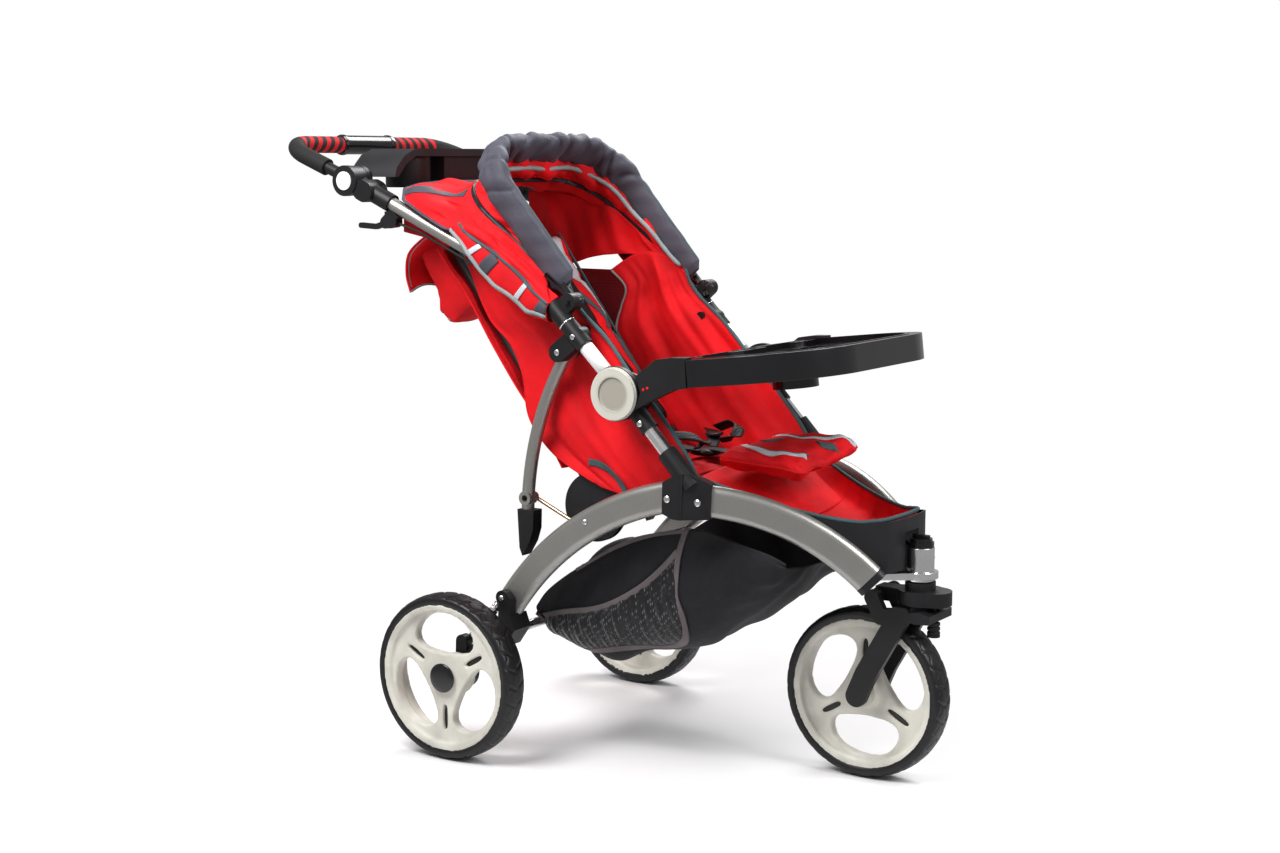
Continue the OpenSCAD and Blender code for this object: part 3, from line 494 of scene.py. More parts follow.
def new_object(name, verts, faces, material):
    """New smooth-shaded mesh object whose faces all look outwards."""
    mesh = bpy.data.meshes.new(name)
    mesh.from_pydata([tuple(v) for v in verts], [], faces)
    bm = bmesh.new()
    bm.from_mesh(mesh)
    bmesh.ops.recalc_face_normals(bm, faces=bm.faces)
    bm.to_mesh(mesh)
    bm.free()
    smooth_shading(mesh)
    mesh.materials.append(MAT[material])
    return new_in_scene(name, mesh)


def sheet(name, grid, thick, material):
    """Closed cloth sheet around a mid-surface grid."""
    n, m = grid.shape[:2]
    offset = grid_normals(grid) * (thick / 2)
    verts = np.concatenate([(grid + offset).reshape(-1, 3), (grid - offset).reshape(-1, 3)])
    top = lambda i, j: i * m + j
    low = lambda i, j: n * m + top(i, j)
    faces = []
    for i in range(n - 1):
        for j in range(m - 1):
            faces.append((top(i, j), top(i, j + 1), top(i + 1, j + 1), top(i + 1, j)))
            faces.append((low(i, j), low(i + 1, j), low(i + 1, j + 1), low(i, j + 1)))
    for j in range(m - 1):
        faces.append((top(0, j), low(0, j), low(0, j + 1), top(0, j + 1)))
        faces.append((top(n - 1, j), top(n - 1, j + 1), low(n - 1, j + 1), low(n - 1, j)))
    for i in range(n - 1):
        faces.append((top(i, 0), top(i + 1, 0), low(i + 1, 0), low(i, 0)))
        faces.append((top(i, m - 1), low(i, m - 1), low(i + 1, m - 1), top(i + 1, m - 1)))
    return new_object(name, verts, faces, material)


def tube(name, rings, material, closed=False):
    """Skin over rings of points, with flat ends unless it is closed."""
    n, m = rings.shape[:2]
    verts = rings.reshape(-1, 3)
    faces = []
    for i in range(n if closed else n - 1):
        for j in range(m):
            a, b = i * m, ((i + 1) % n) * m
            faces.append((a + j, a + (j + 1) % m, b + (j + 1) % m, b + j))
    if not closed:
        faces.append(tuple(range(m)))
        faces.append(tuple(reversed(range((n - 1) * m, n * m))))
    return new_object(name, verts, faces, material)


def cord(name, path, radius, material, flat=1.0, ribs=0.0, rib_pitch=0.004):
    """Round or flattened cord along a path; ribs adds the ridges of a ribbed piping."""
    tangent = unit(np.gradient(path, axis=0))
    first = np.cross(tangent[0], [0, 0, 1])
    if np.linalg.norm(first) < 0.2:
        first = np.cross(tangent[0], [0, 1, 0])
    side = [unit(first)]
    for t in tangent[1:]:
        side.append(unit(side[-1] - np.dot(side[-1], t) * t))
    side = np.array(side)
    up = np.cross(tangent, side)
    length = travelled(path)
    angle = np.linspace(0, TURN, 8, endpoint=False)
    swell = 1 + ribs * np.sin(TURN * length / rib_pitch)
    taper = np.minimum(1, 0.5 + np.minimum(length, length[-1] - length) / (2 * radius))
    r = (radius * swell * taper)[:, None, None]
    rings = path[:, None] + r * (np.cos(angle)[None, :, None] * side[:, None]
                                 + flat * np.sin(angle)[None, :, None] * up[:, None])
    return tube(name, rings, material)


def surface_tree(obj):
    """Search tree over an object's own mesh."""
    mesh = obj.data
    verts = [v.co.copy() for v in mesh.vertices]
    return BVHTree.FromPolygons(verts, [tuple(p.vertices) for p in mesh.polygons])


def drape(tree, points, direction, lift):
    """Points moved along a direction onto a surface, and lifted a little back off it."""
    d = Vector(direction).normalized()
    out = []
    for p in points:
        hit = tree.ray_cast(Vector(p) - d * 0.25, d)[0]
        if hit is None:
            hit = tree.find_nearest(Vector(p))[0]
        out.append(np.array(hit - d * lift))
    return np.array(out)


def tape(name, tree, path, width, direction, material, lift=0.0009, thick=0.0012, count=40):
    """Flat tape of a given width sewn onto a surface along a path."""
    path = curve(path, count)
    across = unit(np.cross(np.gradient(path, axis=0), unit(np.array(direction, float))))
    rows = [drape(tree, path + across * width * k, direction, lift) for k in np.linspace(-0.5, 0.5, 7)]
    return sheet(name, np.array(rows), thick, material)


def stitches(name, path, material, pitch=0.0048, length=0.0026, radius=0.0006):
    """Row of short raised stitches along a path."""
    centres = curve(path, max(2, int(travelled(path)[-1] / pitch)))
    verts = []
    faces = []
    sides = 5
    angle = np.linspace(0, TURN, sides, endpoint=False)
    for c, t in zip(centres, unit(np.gradient(centres, axis=0))):
        side = unit(np.cross(t, [0.3, 0.5, 0.8]))
        up = np.cross(t, side)
        base = len(verts)
        for step, r in ((-0.5, 0.4), (-0.25, 1.0), (0.25, 1.0), (0.5, 0.4)):
            for a in angle:
                verts.append(c + t * length * step + radius * r * (math.cos(a) * side + math.sin(a) * up))
        for a in (base, base + sides, base + 2 * sides):
            for j in range(sides):
                k = (j + 1) % sides
                faces.append((a + j, a + k, a + sides + k, a + sides + j))
        faces.append(tuple(base + j for j in range(sides)))
        faces.append(tuple(base + 3 * sides + j for j in reversed(range(sides))))
    return new_object(name, verts, faces, material)


def copy_of_node(name, node, material):
    """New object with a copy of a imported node's mesh."""
    mesh = frame["nodes"][node].data.copy()
    mesh.name = name
    mesh.materials.clear()
    mesh.materials.append(MAT[material])
    return new_in_scene(name, mesh)


def apply_modifiers(obj):
    """Turns what an object's modifiers do into its own mesh."""
    depsgraph = bpy.context.evaluated_depsgraph_get()
    mesh = bpy.data.meshes.new_from_object(obj.evaluated_get(depsgraph), depsgraph=depsgraph)
    obj.modifiers.clear()
    old = obj.data
    obj.data = mesh
    bpy.data.meshes.remove(old)
    smooth_shading(mesh)


def remesh(obj, voxel, smooth):
    """Even closed mesh of a solid, with its edges melted by a few smoothing steps."""
    mod = obj.modifiers.new("remesh", "REMESH")
    mod.mode = "VOXEL"
    mod.voxel_size = voxel
    soft = obj.modifiers.new("smooth", "SMOOTH")
    soft.iterations = smooth
    apply_modifiers(obj)


def subdivide(obj):
    mod = obj.modifiers.new("subdivision", "SUBSURF")
    mod.levels = 1
    mod.render_levels = 1
    apply_modifiers(obj)


def vertices_of(mesh, what="co"):
    """Places, or what else is asked for, of a mesh's vertices."""
    values = np.empty(len(mesh.vertices) * 3)
    mesh.vertices.foreach_get(what, values)
    return values.reshape(-1, 3)


def reshape(obj, change):
    """Moves the vertices of a finished mesh: change takes and returns points."""
    mesh = obj.data
    mesh.vertices.foreach_set("co", change(vertices_of(mesh)).reshape(-1))
    mesh.update()


def puff(obj, voxel, pressure, cap, shrink, steps=20):
    """Blows a closed pad up with a short cloth simulation, then caps how far it moved."""
    remesh(obj, voxel, 3)
    normals = vertices_of(obj.data, "normal")
    reshape(obj, lambda co: co - normals * shrink)
    start = vertices_of(obj.data)
    cloth = obj.modifiers.new("cloth", "CLOTH")
    cloth.settings.quality = 5
    cloth.settings.use_pressure = True
    cloth.settings.uniform_pressure_force = pressure
    cloth.settings.effector_weights.gravity = 0
    cloth.point_cache.frame_start = 1
    cloth.point_cache.frame_end = steps
    scene = bpy.context.scene
    for f in range(1, steps + 1):
        scene.frame_set(f)
    apply_modifiers(obj)
    scene.frame_set(1)

    def capped(co):
        move = co - start
        size = np.linalg.norm(move, axis=1, keepdims=True)
        return start + move * np.minimum(1, cap / np.maximum(size, 1e-9))

    reshape(obj, capped)


def finish(pieces, body, replaced=None):
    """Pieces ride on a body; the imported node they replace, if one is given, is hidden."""
    for piece in pieces:
        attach(piece, body)
    if replaced:
        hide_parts(replaced)


def bend(piece):
    """Bakes a piece's placement into its own mesh; it rides on no body."""
    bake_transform(piece)


# ---- Wheels -------------------------------------------------------------------------------

# Body, tyre node and rim node of each wheel
WHEELS = {
    "front": ("front_wheel", "front_tyre", "front_rim"),
    "rear_left": ("rear_wheel_left", "rear_tyre_left", "rear_rim_left"),
    "rear_right": ("rear_wheel_right", "rear_tyre_right", "rear_rim_right"),
}


def hump(x, middle, width):
    """Bell curve with the given middle and width."""
    return math.exp(-((x - middle) / width) ** 2)


def tread_depth(w, around):
    """How deep the tread is cut at w (-1..1 across) and a place around, counted in blocks."""
    sweep = 0.30 * abs(w) ** 1.3
    phase = (around + (sweep if w >= 0 else sweep + 0.5) * 1.6) % 1.0
    cut = hump(phase, 0.5, 0.085) * (0.10 < abs(w) < 0.93)
    middle_groove = hump(abs(w), 0.03, 0.035) * 0.7
    wavy_groove = hump(abs(w) - 0.10 * math.sin(TURN * phase), 0.66, 0.05) * 0.55
    return 0.0021 * max(cut, middle_groove, wavy_groove)


def build_tyre(wheel):
    """Foam tyre with a ring of swept tread blocks, cut as real grooves."""
    body, tyre, _ = WHEELS[wheel]
    lo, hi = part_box(tyre)
    centre = (np.array(lo) + np.array(hi)) / 2
    radius = (hi.z - lo.z) / 2
    half = (hi.y - lo.y) / 2
    blocks = 30
    steps = blocks * 16
    crown = []
    for a in np.linspace(-84, 84, 41):
        t = math.radians(a)
        crown.append((radius - 0.013 + 0.013 * max(math.cos(t), 0) ** 0.55, half * math.sin(t) * 0.985))
    inner = [(radius - 0.020, half * 0.95), (radius - 0.0245, half * 0.5),
             (radius - 0.0245, -half * 0.5), (radius - 0.020, -half * 0.95)]
    rings = []
    for i in range(steps):
        f = TURN * i / steps
        ring = [(r - tread_depth(y / half, f * blocks / TURN), y) for r, y in crown] + inner
        rings.append([(centre[0] + r * math.sin(f), centre[1] + y, centre[2] + r * math.cos(f))
                      for r, y in ring])
    finish([tube(wheel + "_tread", np.array(rings), "tyre", closed=True)], body, tyre)


def build_rim(wheel):
    """Moulded three-spoke wheel with melted transitions between the spokes and the ring."""
    body, _, rim = WHEELS[wheel]
    obj = copy_of_node(wheel + "_moulded_rim", rim, "ivory_plastic")
    remesh(obj, 0.0028, 7)
    finish([obj], body, rim)


for wheel in WHEELS:
    build_tyre(wheel)
    build_rim(wheel)

# ---- Side cloths, wings and hood ------------------------------------------------------------

def build_window(grid):
    """Dark mesh window behind the far side cloth, up to the headrest."""
    edge = grid[66:, 0]
    back = edge + np.array([-0.115, -0.004, 0.0])
    back[:, 0] += np.linspace(0.02, -0.012, len(edge))
    middle = (edge + back) / 2 + np.array([0.0, 0.008, 0.0])
    panel = surface([back, middle, edge + np.array([0.006, 0.002, 0.0])], 24, 40)
    return sheet("window_mesh", panel, 0.0014, "red_mesh")


def build_side_cloth(side):
    """Red cloth from the backrest's edge to the side tube, down to the arch."""
    top = [
        [(-8, -174, 780), (60, -187, 803), (130, -194, 815), (204, -200, 812)],
        [(-63, -180, 904), (15, -192, 898), (100, -196, 884), (176, -197, 862)],
    ]
    if side > 0:
        top = [
            [(44, -178, 782), (90, -188, 800), (142, -195, 815), (202, -202, 812)],
            [(52, -182, 818), (92, -190, 836), (136, -196, 846), (182, -203, 838)],
            [(14, -186, 853), (64, -193, 884), (114, -198, 889), (172, -204, 864)],
        ]
    rows = [
        [(238, -180, 494), (300, -181, 482), (370, -184, 480), (446, -196, 500)],
        [(134, -178, 546), (220, -181, 545), (320, -186, 540), (446, -205, 540)],
        [(79, -174, 605), (170, -180, 612), (280, -188, 616), (388, -206, 622)],
        [(62, -172, 685), (140, -178, 690), (232, -184, 694), (322, -204, 692)],
        [(36, -172, 737), (100, -178, 755), (196, -181, 764), (262, -200, 760)],
    ] + top
    grid = surface(side_points(rows, side), 110, 90)
    folds = [(2.1, 0.5, 1.0), (3.7, -0.8, 0.7), (5.9, 0.9, 0.35), (1.2, 2.3, 0.5), (9.0, 1.6, 0.15)]
    grid = ripple(grid, 0.0042, folds, seed=0.7 * side)
    cloth = sheet("side_cloth_" + tag(side), grid, 0.0022, "red_fabric")
    piping = cord("side_piping_" + tag(side), grid[2:-1, -1], 0.0036, "teal_binding", ribs=0.05)
    rear = cord("side_rear_seam_" + tag(side), grid[3:, 0], 0.0022, "red_fabric")
    tree = surface_tree(cloth)
    angles = np.radians(np.linspace(22, 92, 26))
    arc_radius = 0.082
    arc = [(HUB[0] + arc_radius * math.cos(a), side * 0.19, HUB[1] + arc_radius * math.sin(a))
           for a in angles]
    arc_tape = tape("hub_arc_" + tag(side), tree, arc, 0.012, (0, -side, 0), "teal_binding")
    pieces = [cloth, piping, rear, arc_tape]
    if side > 0:
        pieces.append(build_window(grid))
        pieces.append(cord("window_binding", grid[68:, 0], 0.0042, "grey_binding", flat=0.7))
    for piece in pieces:
        bend(piece)
    if side < 0:
        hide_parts("side_panels")


# Upper cord and lower piping of the wing, right side, from front to rear
CORD_ROW = [(176, -251, 818), (157, -252, 831), (134, -253, 851), (110, -254, 872), (84, -254, 891),
            (58, -254, 906), (29, -254, 922), (2, -253, 937), (-16, -251, 955)]
PIPE_ROW = [(172, -250, 796), (150, -252, 802), (135, -253, 805), (101, -255, 829), (65, -256, 849),
            (30, -256, 878), (-1, -254, 913), (-24, -252, 934), (-36, -250, 944)]


def build_wing_band(side):
    """Striped wing of the seat cloth that hangs over the outside of the handle tube."""
    middle = [((a[0] + b[0]) / 2, min(a[1], b[1]) - 4, (a[2] + b[2]) / 2)
              for a, b in zip(CORD_ROW, PIPE_ROW)]
    over = [(x + 8, -232, z + 12) for x, y, z in CORD_ROW]
    tucked = [(x - 6, -232, z - 10) for x, y, z in PIPE_ROW]
    inner = [(x - 4, -206, z - 4) for x, y, z in PIPE_ROW]
    rows = [over, CORD_ROW, middle, PIPE_ROW, tucked, inner]
    grid = surface(side_points(rows, side), 44, 110)
    grid = ripple(grid, 0.0010, [(3.1, 0.4, 1.0), (6.3, 0.8, 0.5)], seed=1.3)
    band = sheet("wing_band_" + tag(side), grid, 0.0022, "red_fabric")
    tree = surface_tree(band)
    pieces = [band]
    toward = (0, -side, 0)
    low = side_points(PIPE_ROW, side)
    high = side_points(CORD_ROW, side)
    piping = curve(drape(tree, curve(low, 60), toward, 0.0015), 160)
    pieces.append(cord("wing_piping_" + tag(side), piping, 0.0042, "grey_binding", ribs=0.10))
    upper = curve(drape(tree, curve(high, 60), toward, 0.0012), 120)
    pieces.append(cord("wing_cord_" + tag(side), upper, 0.0026, "teal_binding"))
    lows = curve(low, 101)
    highs = curve(high, 101)
    stripes = [(0.06, 0.022, "slate_fabric"), (0.27, 0.010, "reflective"), (0.60, 0.024, "slate_fabric"),
               (0.76, 0.010, "reflective")]
    for number, (place_at, width, material) in enumerate(stripes):
        i = int(place_at * 100)
        j = max(i - 4, 0)
        line = [lows[i] * (1 - t) + highs[j] * t for t in (0.08, 0.5, 0.94)]
        pieces.append(tape("wing_stripe_%d_%s" % (number, tag(side)), tree, line, width, toward,
                           material, count=14))
    finish(pieces, "upper_frame", "side_wings")


# Half width, reach and corner radius of both canopy bows
BOW_W = 0.206
BOW_REACH = 0.338
BOW_CORNER = 0.105


def bow_path(angle, start, out=0.0, count=120):
    """U-shaped path in a bow's plane, from the right leg over the top to the left leg.

    The legs begin at start, counted from the canopy pivot, and out makes the bow wider."""
    w = BOW_W + out
    reach = BOW_REACH + out
    corner = BOW_CORNER + out
    flat = [(start, -w), ((start + reach - corner) / 2, -w), (reach - corner, -w)]
    for a in np.linspace(0, math.pi / 2, 9)[1:]:
        flat.append((reach - corner + corner * math.sin(a), -w + corner - corner * math.cos(a)))
    flat.append((reach, 0.0))
    flat = flat + [(r, -y) for r, y in reversed(flat[:-1])]
    d = heading(angle)
    return resample([(BOW[0] + d[0] * r, y, BOW[1] + d[1] * r) for r, y in flat], count)


# Lower edge of the hood's lining, along the top of each side cloth
LINING_LOW = {
    "left": [(-190, -192, 876), (-91, -190, 862), (-40, -192, 875), (4, -194, 882), (60, -197, 884),
             (116, -200, 880), (178, -203, 854)],
    "right": [(-190, -194, 934), (-110, -192, 918), (-62, -187, 908), (12, -196, 902), (60, -198, 893),
              (102, -200, 884), (178, -202, 862)],
}


def build_lining(side):
    """Inner cloth of the hood, from above the side cloth up to the middle bow."""
    low = resample(curve(side_points(LINING_LOW[tag(side)], side), 80), 70)
    leg = bow_path(MID_BOW_A, 0.030, -0.006, 141)
    leg = leg[:34] if side < 0 else leg[:-35:-1]
    rear = side_points([(-184, -186, 1006), (-120, -199, 1001), (-62, -205, 990)], side)
    high = resample(curve(np.concatenate([rear, leg[::-4]]), 90), 70)
    bulge = (low + high) / 2
    bulge[:, 1] += side * 0.005
    grid = surface([low, bulge, high], 30, 140)
    grid = ripple(grid, 0.0034, [(5.0, 0.7, 0.8), (8.0, 1.2, 0.5), (3.0, 0.4, 0.6)], seed=3.0 + side)
    return sheet("hood_lining_" + tag(side), grid, 0.0016, "red_fabric")


def bend_hood(piece):
    """Hood cloth piece, with its placement baked into its own mesh; it rides on no body."""
    bend(piece)


def build_hood():
    """Red hood cloth from the handle tubes and the rear edge up to the middle bow."""
    half = [(180, -249, 818), (157, -250, 832), (110, -252, 873), (58, -252, 907), (2, -252, 938),
            (-50, -251, 944), (-100, -250, 968), (-150, -240, 992), (-180, -200, 1012), (-186, -150, 1020),
            (-188, -80, 1024)]
    rear = half + [(-187, 0, 1024)] + [(x, -y, z) for x, y, z in reversed(half)]
    rear = resample(mm_points(rear), 141)
    mid = bow_path(MID_BOW_A, 0.085, 0.004, 141)
    s = np.linspace(-1, 1, 141)
    flank = np.clip((np.abs(s) - 0.35) / 0.3, 0, 1)
    shoulder = rear * 0.72 + mid * 0.28
    shoulder[:, 1] = rear[:, 1] * (1 - 0.02 * flank)
    shoulder[:, 2] += flank * 0.006
    between = rear * 0.35 + mid * 0.65
    between[:, 2] -= (1 - np.abs(s) ** 4) * 0.012
    grid = surface([rear, shoulder, between, mid], 40, 200)
    folds = [(7.0, 0.4, 0.8), (11.0, 0.9, 0.5), (4.0, 1.3, 0.9), (17.0, 0.2, 0.35)]
    grid = ripple(grid, 0.0040, folds, seed=0.4)
    hood = sheet("hood_cloth", grid, 0.0020, "red_fabric")
    pieces = [hood]
    pieces.append(cord("hood_rear_band", grid[0, 6:-6], 0.0050, "slate_fabric", flat=0.5))
    seam = cord("hood_seam", mid[3:-3], 0.0040, "teal_binding", flat=0.6)
    finish([seam], "canopy_mid")
    for side in SIDES.values():
        pieces.append(build_lining(side))
    for piece in pieces:
        bend_hood(piece)
    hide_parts("canopy_cloth")
    tree = surface_tree(hood)
    for side in SIDES.values():
        line = side_points([(-181, -215, 1005), (-134, -217, 1011), (-95, -217, 1013), (-56, -215, 1015)],
                           side)
        band = tape("hood_side_band_" + tag(side), tree, line, 0.016, (0, -side, -0.25), "slate_fabric")
        bend_hood(band)


def build_canopy_front():
    """Cloth between the middle bow and the padded front bow, with piping at both edges."""
    first = bow_path(MID_BOW_A - 0.6, 0.075, 0.003, 141)
    last = bow_path(FRONT_BOW_A + 2.0, 0.060, 0.001, 141)
    between = (first + last) / 2
    inward = unit(np.array([BOW[0], 0, BOW[1]]) - between)
    s = np.linspace(-1, 1, 141)
    between = between + inward * (0.013 * (1 - np.abs(s) ** 3))[:, None]
    grid = surface([first, between, last], 26, 200)
    folds = [(9.0, 0.5, 0.8), (14.0, 1.0, 0.6), (5.0, 0.4, 0.7), (23.0, 0.6, 0.3)]
    grid = ripple(grid, 0.0038, folds, seed=2.1)
    cloth = sheet("canopy_front_cloth", grid, 0.0020, "red_fabric")
    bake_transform(cloth)
    edge = bow_path(FRONT_BOW_A + 4.4, 0.060, -0.010, 240)
    wave = np.sin(np.linspace(0, 44, 240)) * 0.0018
    edge = edge + wave[:, None] * np.array([0.5, 0, 0.6])
    piping = cord("sleeve_piping", edge, 0.0046, "grey_binding", ribs=0.06)
    finish([piping], "canopy_front")


def build_sleeve():
    """Padded slate sleeve round the front bow: flat on the legs, full and creased on top."""
    count = 420
    plane = FRONT_BOW_A - 1.5
    path = bow_path(plane, 0.034, 0.003, count)
    for _ in range(12):
        path[1:-1] = (path[:-2] + path[2:]) / 4 + path[1:-1] / 2
    d = heading(plane + 90)
    rear = np.array([d[0], 0, d[1]])
    out = np.cross(unit(np.gradient(path, axis=0)), rear)
    out *= np.sign(out[count // 2, 2])
    s = np.linspace(-1, 1, count)[:, None]
    top = np.clip((0.66 - np.abs(s)) / 0.24, 0, 1)
    top = top * top * (3 - 2 * top)
    a = np.linspace(0, TURN, 40, endpoint=False)[None, :]
    crease = np.zeros((count, 40))
    creases = [(-0.55, 0.6), (-0.45, 1.0), (-0.37, 0.7), (-0.27, 1.1), (-0.16, 0.8), (-0.05, 1.1),
               (0.04, 0.7), (0.14, 1.0), (0.25, 1.2), (0.33, 0.6), (0.42, 1.0), (0.52, 0.8)]
    for k, (place_at, depth) in enumerate(creases):
        slant = 0.026 * np.sin(a + 1.9 * k) + 0.012 * np.sin(2 * a + k)
        crease += depth * np.exp(-((s - place_at - slant) / (0.009 + 0.004 * (k % 3))) ** 2)
    c = np.abs(np.cos(a)) ** 0.7 * np.sign(np.cos(a))
    w = np.sin(a)
    from_end = np.minimum(np.arange(count), count - 1 - np.arange(count))[:, None]
    ends = np.minimum(1.0, 0.55 + from_end / 14)
    small = (0.0012 * np.sin(34 * s + 2.2 * a) + 0.0008 * np.sin(71 * s - 3 * a)) * (0.35 + top)
    fold = crease * (0.0068 * top + 0.0006)
    thick = ((0.0085 + 0.0095 * top) * ends - fold + small) * c + 0.002 + 0.004 * top
    wide = ((0.0275 + 0.0055 * top) * ends + small - fold * 0.4) * w + 0.0011 * np.sin(2 * a + 9 * s) * top
    rings = path[:, None] + out[:, None] * thick[..., None] + rear * wide[..., None]
    sleeve = tube("canopy_sleeve_pad", rings, "slate_fabric")
    pieces = [sleeve]
    tree = surface_tree(sleeve)
    legs = {"right": slice(8, 92), "left": slice(count - 92, count - 8)}
    for name, part in legs.items():
        side = SIDES[name]
        for number, offset in enumerate((-0.020, 0.020)):
            line = path[part] + rear * offset
            on = drape(tree, line, (0, -side, 0), 0.0004)
            pieces.append(stitches("sleeve_stitch_%d_%s" % (number, name), on, "teal_binding"))
        for number, offset in enumerate((-0.0268, 0.0268)):
            line = path[part] + rear * offset + out[part] * 0.001
            pieces.append(cord("sleeve_edge_%d_%s" % (number, name), line, 0.0018, "teal_binding"))
    finish(pieces, "canopy_front", "canopy_sleeve")


for side in SIDES.values():
    build_side_cloth(side)
    build_wing_band(side)
build_hood()
build_canopy_front()
build_sleeve()

# ---- Seat, backrest and calf pad ---------------------------------------------------------------

BACK = heading(BACK_A)
BEHIND = heading(BACK_A + 90)
TOWARD_BACK = (BEHIND[0], 0, BEHIND[1])


def back_at(up, behind=0.0):
    """Side-view point of the backrest: mm up from the hub and mm out behind it."""
    return HUB + BACK * up * MM + BEHIND * behind * MM


def back_points(points):
    """Points given as (up, y, behind) on the backrest, in mm."""
    out = []
    for up, y, behind in points:
        p = back_at(up, behind)
        out.append((p[0], y * MM, p[1]))
    return np.array(out)


def sew_channels(obj, lines, depth, width, direction):
    """Presses sewn channels into a pad: each line runs on the pad's face."""
    d = unit(np.array(direction, float))

    def press(co):
        pull = np.zeros(len(co))
        for line in lines:
            path = curve(line, 60)
            flat = path - np.outer(path @ d, d)
            here = co - np.outer(co @ d, d)
            gap = np.min(np.linalg.norm(here[:, None] - flat[None], axis=2), axis=1)
            pull = np.maximum(pull, np.exp(-(gap / width) ** 2))
        facing = co @ d < np.median(co @ d)
        return co + np.outer(pull * facing * depth, d)

    reshape(obj, press)


def build_backrest():
    """Puffed backrest with its tapes and shoulder straps, and the cloth behind its board."""
    pad = copy_of_node("backrest_cushion", "backrest_pad", "red_fabric")
    puff(pad, 0.008, 4.0, 0.014, 0.005)
    lines = [back_points([(d, -150, -40), (d + 12, 0, -40), (d, 150, -40)]) for d in (215, 330, 445)]
    lines += [back_points([(110, y, -40), (330, y * 0.92, -40), (560, y, -40)]) for y in (-98, 98)]
    sew_channels(pad, lines, 0.008, 0.009, TOWARD_BACK)
    subdivide(pad)
    tree = surface_tree(pad)
    pieces = [pad]
    runs = [
        ("wide", [(560, 128), (500, 100), (430, 122), (360, 152)], 0.026, "reflective"),
        ("thin", [(560, 96), (490, 72), (420, 88), (330, 128), (250, 150)], 0.010, "teal_binding"),
        ("low", [(420, 152), (350, 130), (270, 122), (190, 142)], 0.018, "teal_binding"),
    ]
    for name, side in SIDES.items():
        for label, line, width, material in runs:
            path = back_points([(up, side * y, -40) for up, y in line])
            pieces.append(tape("back_tape_%s_%s" % (label, name), tree, path, width, TOWARD_BACK,
                               material))
        strap = back_points([(478, side * 52, -40), (400, side * 60, -40), (300, side * 70, -40),
                             (200, side * 88, -40), (118, side * 104, -40)])
        pieces.append(tape("shoulder_strap_" + name, tree, strap, 0.036, TOWARD_BACK, "webbing",
                           lift=0.004, thick=0.0035))
        edge = back_points([(d, side * 166, -22) for d in (98, 200, 330, 460, 562)])
        pieces.append(cord("back_edge_" + name, curve(edge, 120), 0.0032, "teal_binding", ribs=0.05))
    rows = []
    for d in (92, 180, 270, 360, 450, 530, 566):
        rows.append(back_points([(d, y, 13 + 9 * math.cos(y / 180 * 1.5) + 3 * math.sin(d / 40))
                                 for y in range(-172, 173, 43)]))
    grid = ripple(surface(rows, 90, 70), 0.0034, [(1.3, 3.1, 1.0), (2.6, 5.2, 0.5), (4.2, 1.4, 0.5)], 0.8)
    pieces.append(sheet("back_cover", grid, 0.0024, "red_fabric"))
    finish(pieces, "backrest", "backrest_pad")


def build_rear_pocket():
    """Slumped rear pocket under a loose bound flap."""
    bag = copy_of_node("rear_pocket_bag", "rear_pocket", "red_fabric")
    puff(bag, 0.009, 5.0, 0.016, 0.006)

    def slump(co):
        out = co.copy()
        low = np.clip((back_at(560, 60)[1] - co[:, 2]) / 0.16, 0, 1)
        out[:, 0] += 0.004 * np.sin(co[:, 1] * 46 + 1.0) * low
        out[:, 2] += 0.006 * np.cos(co[:, 1] * 31) * low
        out[:, 0] += 0.003 * np.sin(co[:, 1] * 90 + co[:, 2] * 70)
        return out

    reshape(bag, slump)
    subdivide(bag)
    pieces = [bag]
    rows = []
    folds = [(602, 14, 0.0), (606, 50, 1.0), (600, 88, 2.2), (572, 112, 4.5), (545, 120, 7.5)]
    for up, behind, wave in folds:
        rows.append(back_points([(up + wave * math.sin(y / 21 + up / 40), y,
                                  behind + wave * math.cos(y / 26)) for y in range(-158, 159, 16)]))
    flap = surface(rows, 40, 120)
    pieces.append(sheet("rear_pocket_flap", flap, 0.0026, "red_fabric"))
    pieces.append(cord("rear_flap_binding", flap[-1], 0.0034, "grey_binding", flat=0.6, ribs=0.05))
    for side in SIDES.values():
        edge = flap[1:-1, 3 if side < 0 else -4]
        pieces.append(cord("rear_flap_edge_" + tag(side), edge, 0.0030, "grey_binding", flat=0.6))
    tree = surface_tree(bag)
    for number, d in enumerate((478, 452)):
        line = back_points([(d + 7 * math.sin(y / 24 + number), y, 130) for y in range(-140, 141, 20)])
        pieces.append(tape("rear_pocket_binding_%d" % number, tree, line, 0.007,
                           (-BEHIND[0], 0, -BEHIND[1]), "grey_binding", count=80))
    finish(pieces, "backrest", "rear_pocket")


def build_seat():
    """Puffed seat cushion with two sewn channels."""
    pad = copy_of_node("seat_cushion", "seat_base", "red_fabric")
    puff(pad, 0.008, 4.0, 0.010, 0.005)
    lines = [mm_points([(x, -150, 540), (x + 6, 0, 540), (x, 150, 540)]) for x in (300, 365)]
    sew_channels(pad, lines, 0.006, 0.008, (0, 0, -1))
    subdivide(pad)
    finish([pad], "chassis", "seat_base")


def signed_power(value, power):
    """Power of the size of a value, with its sign kept."""
    return math.copysign(abs(value) ** power, value)


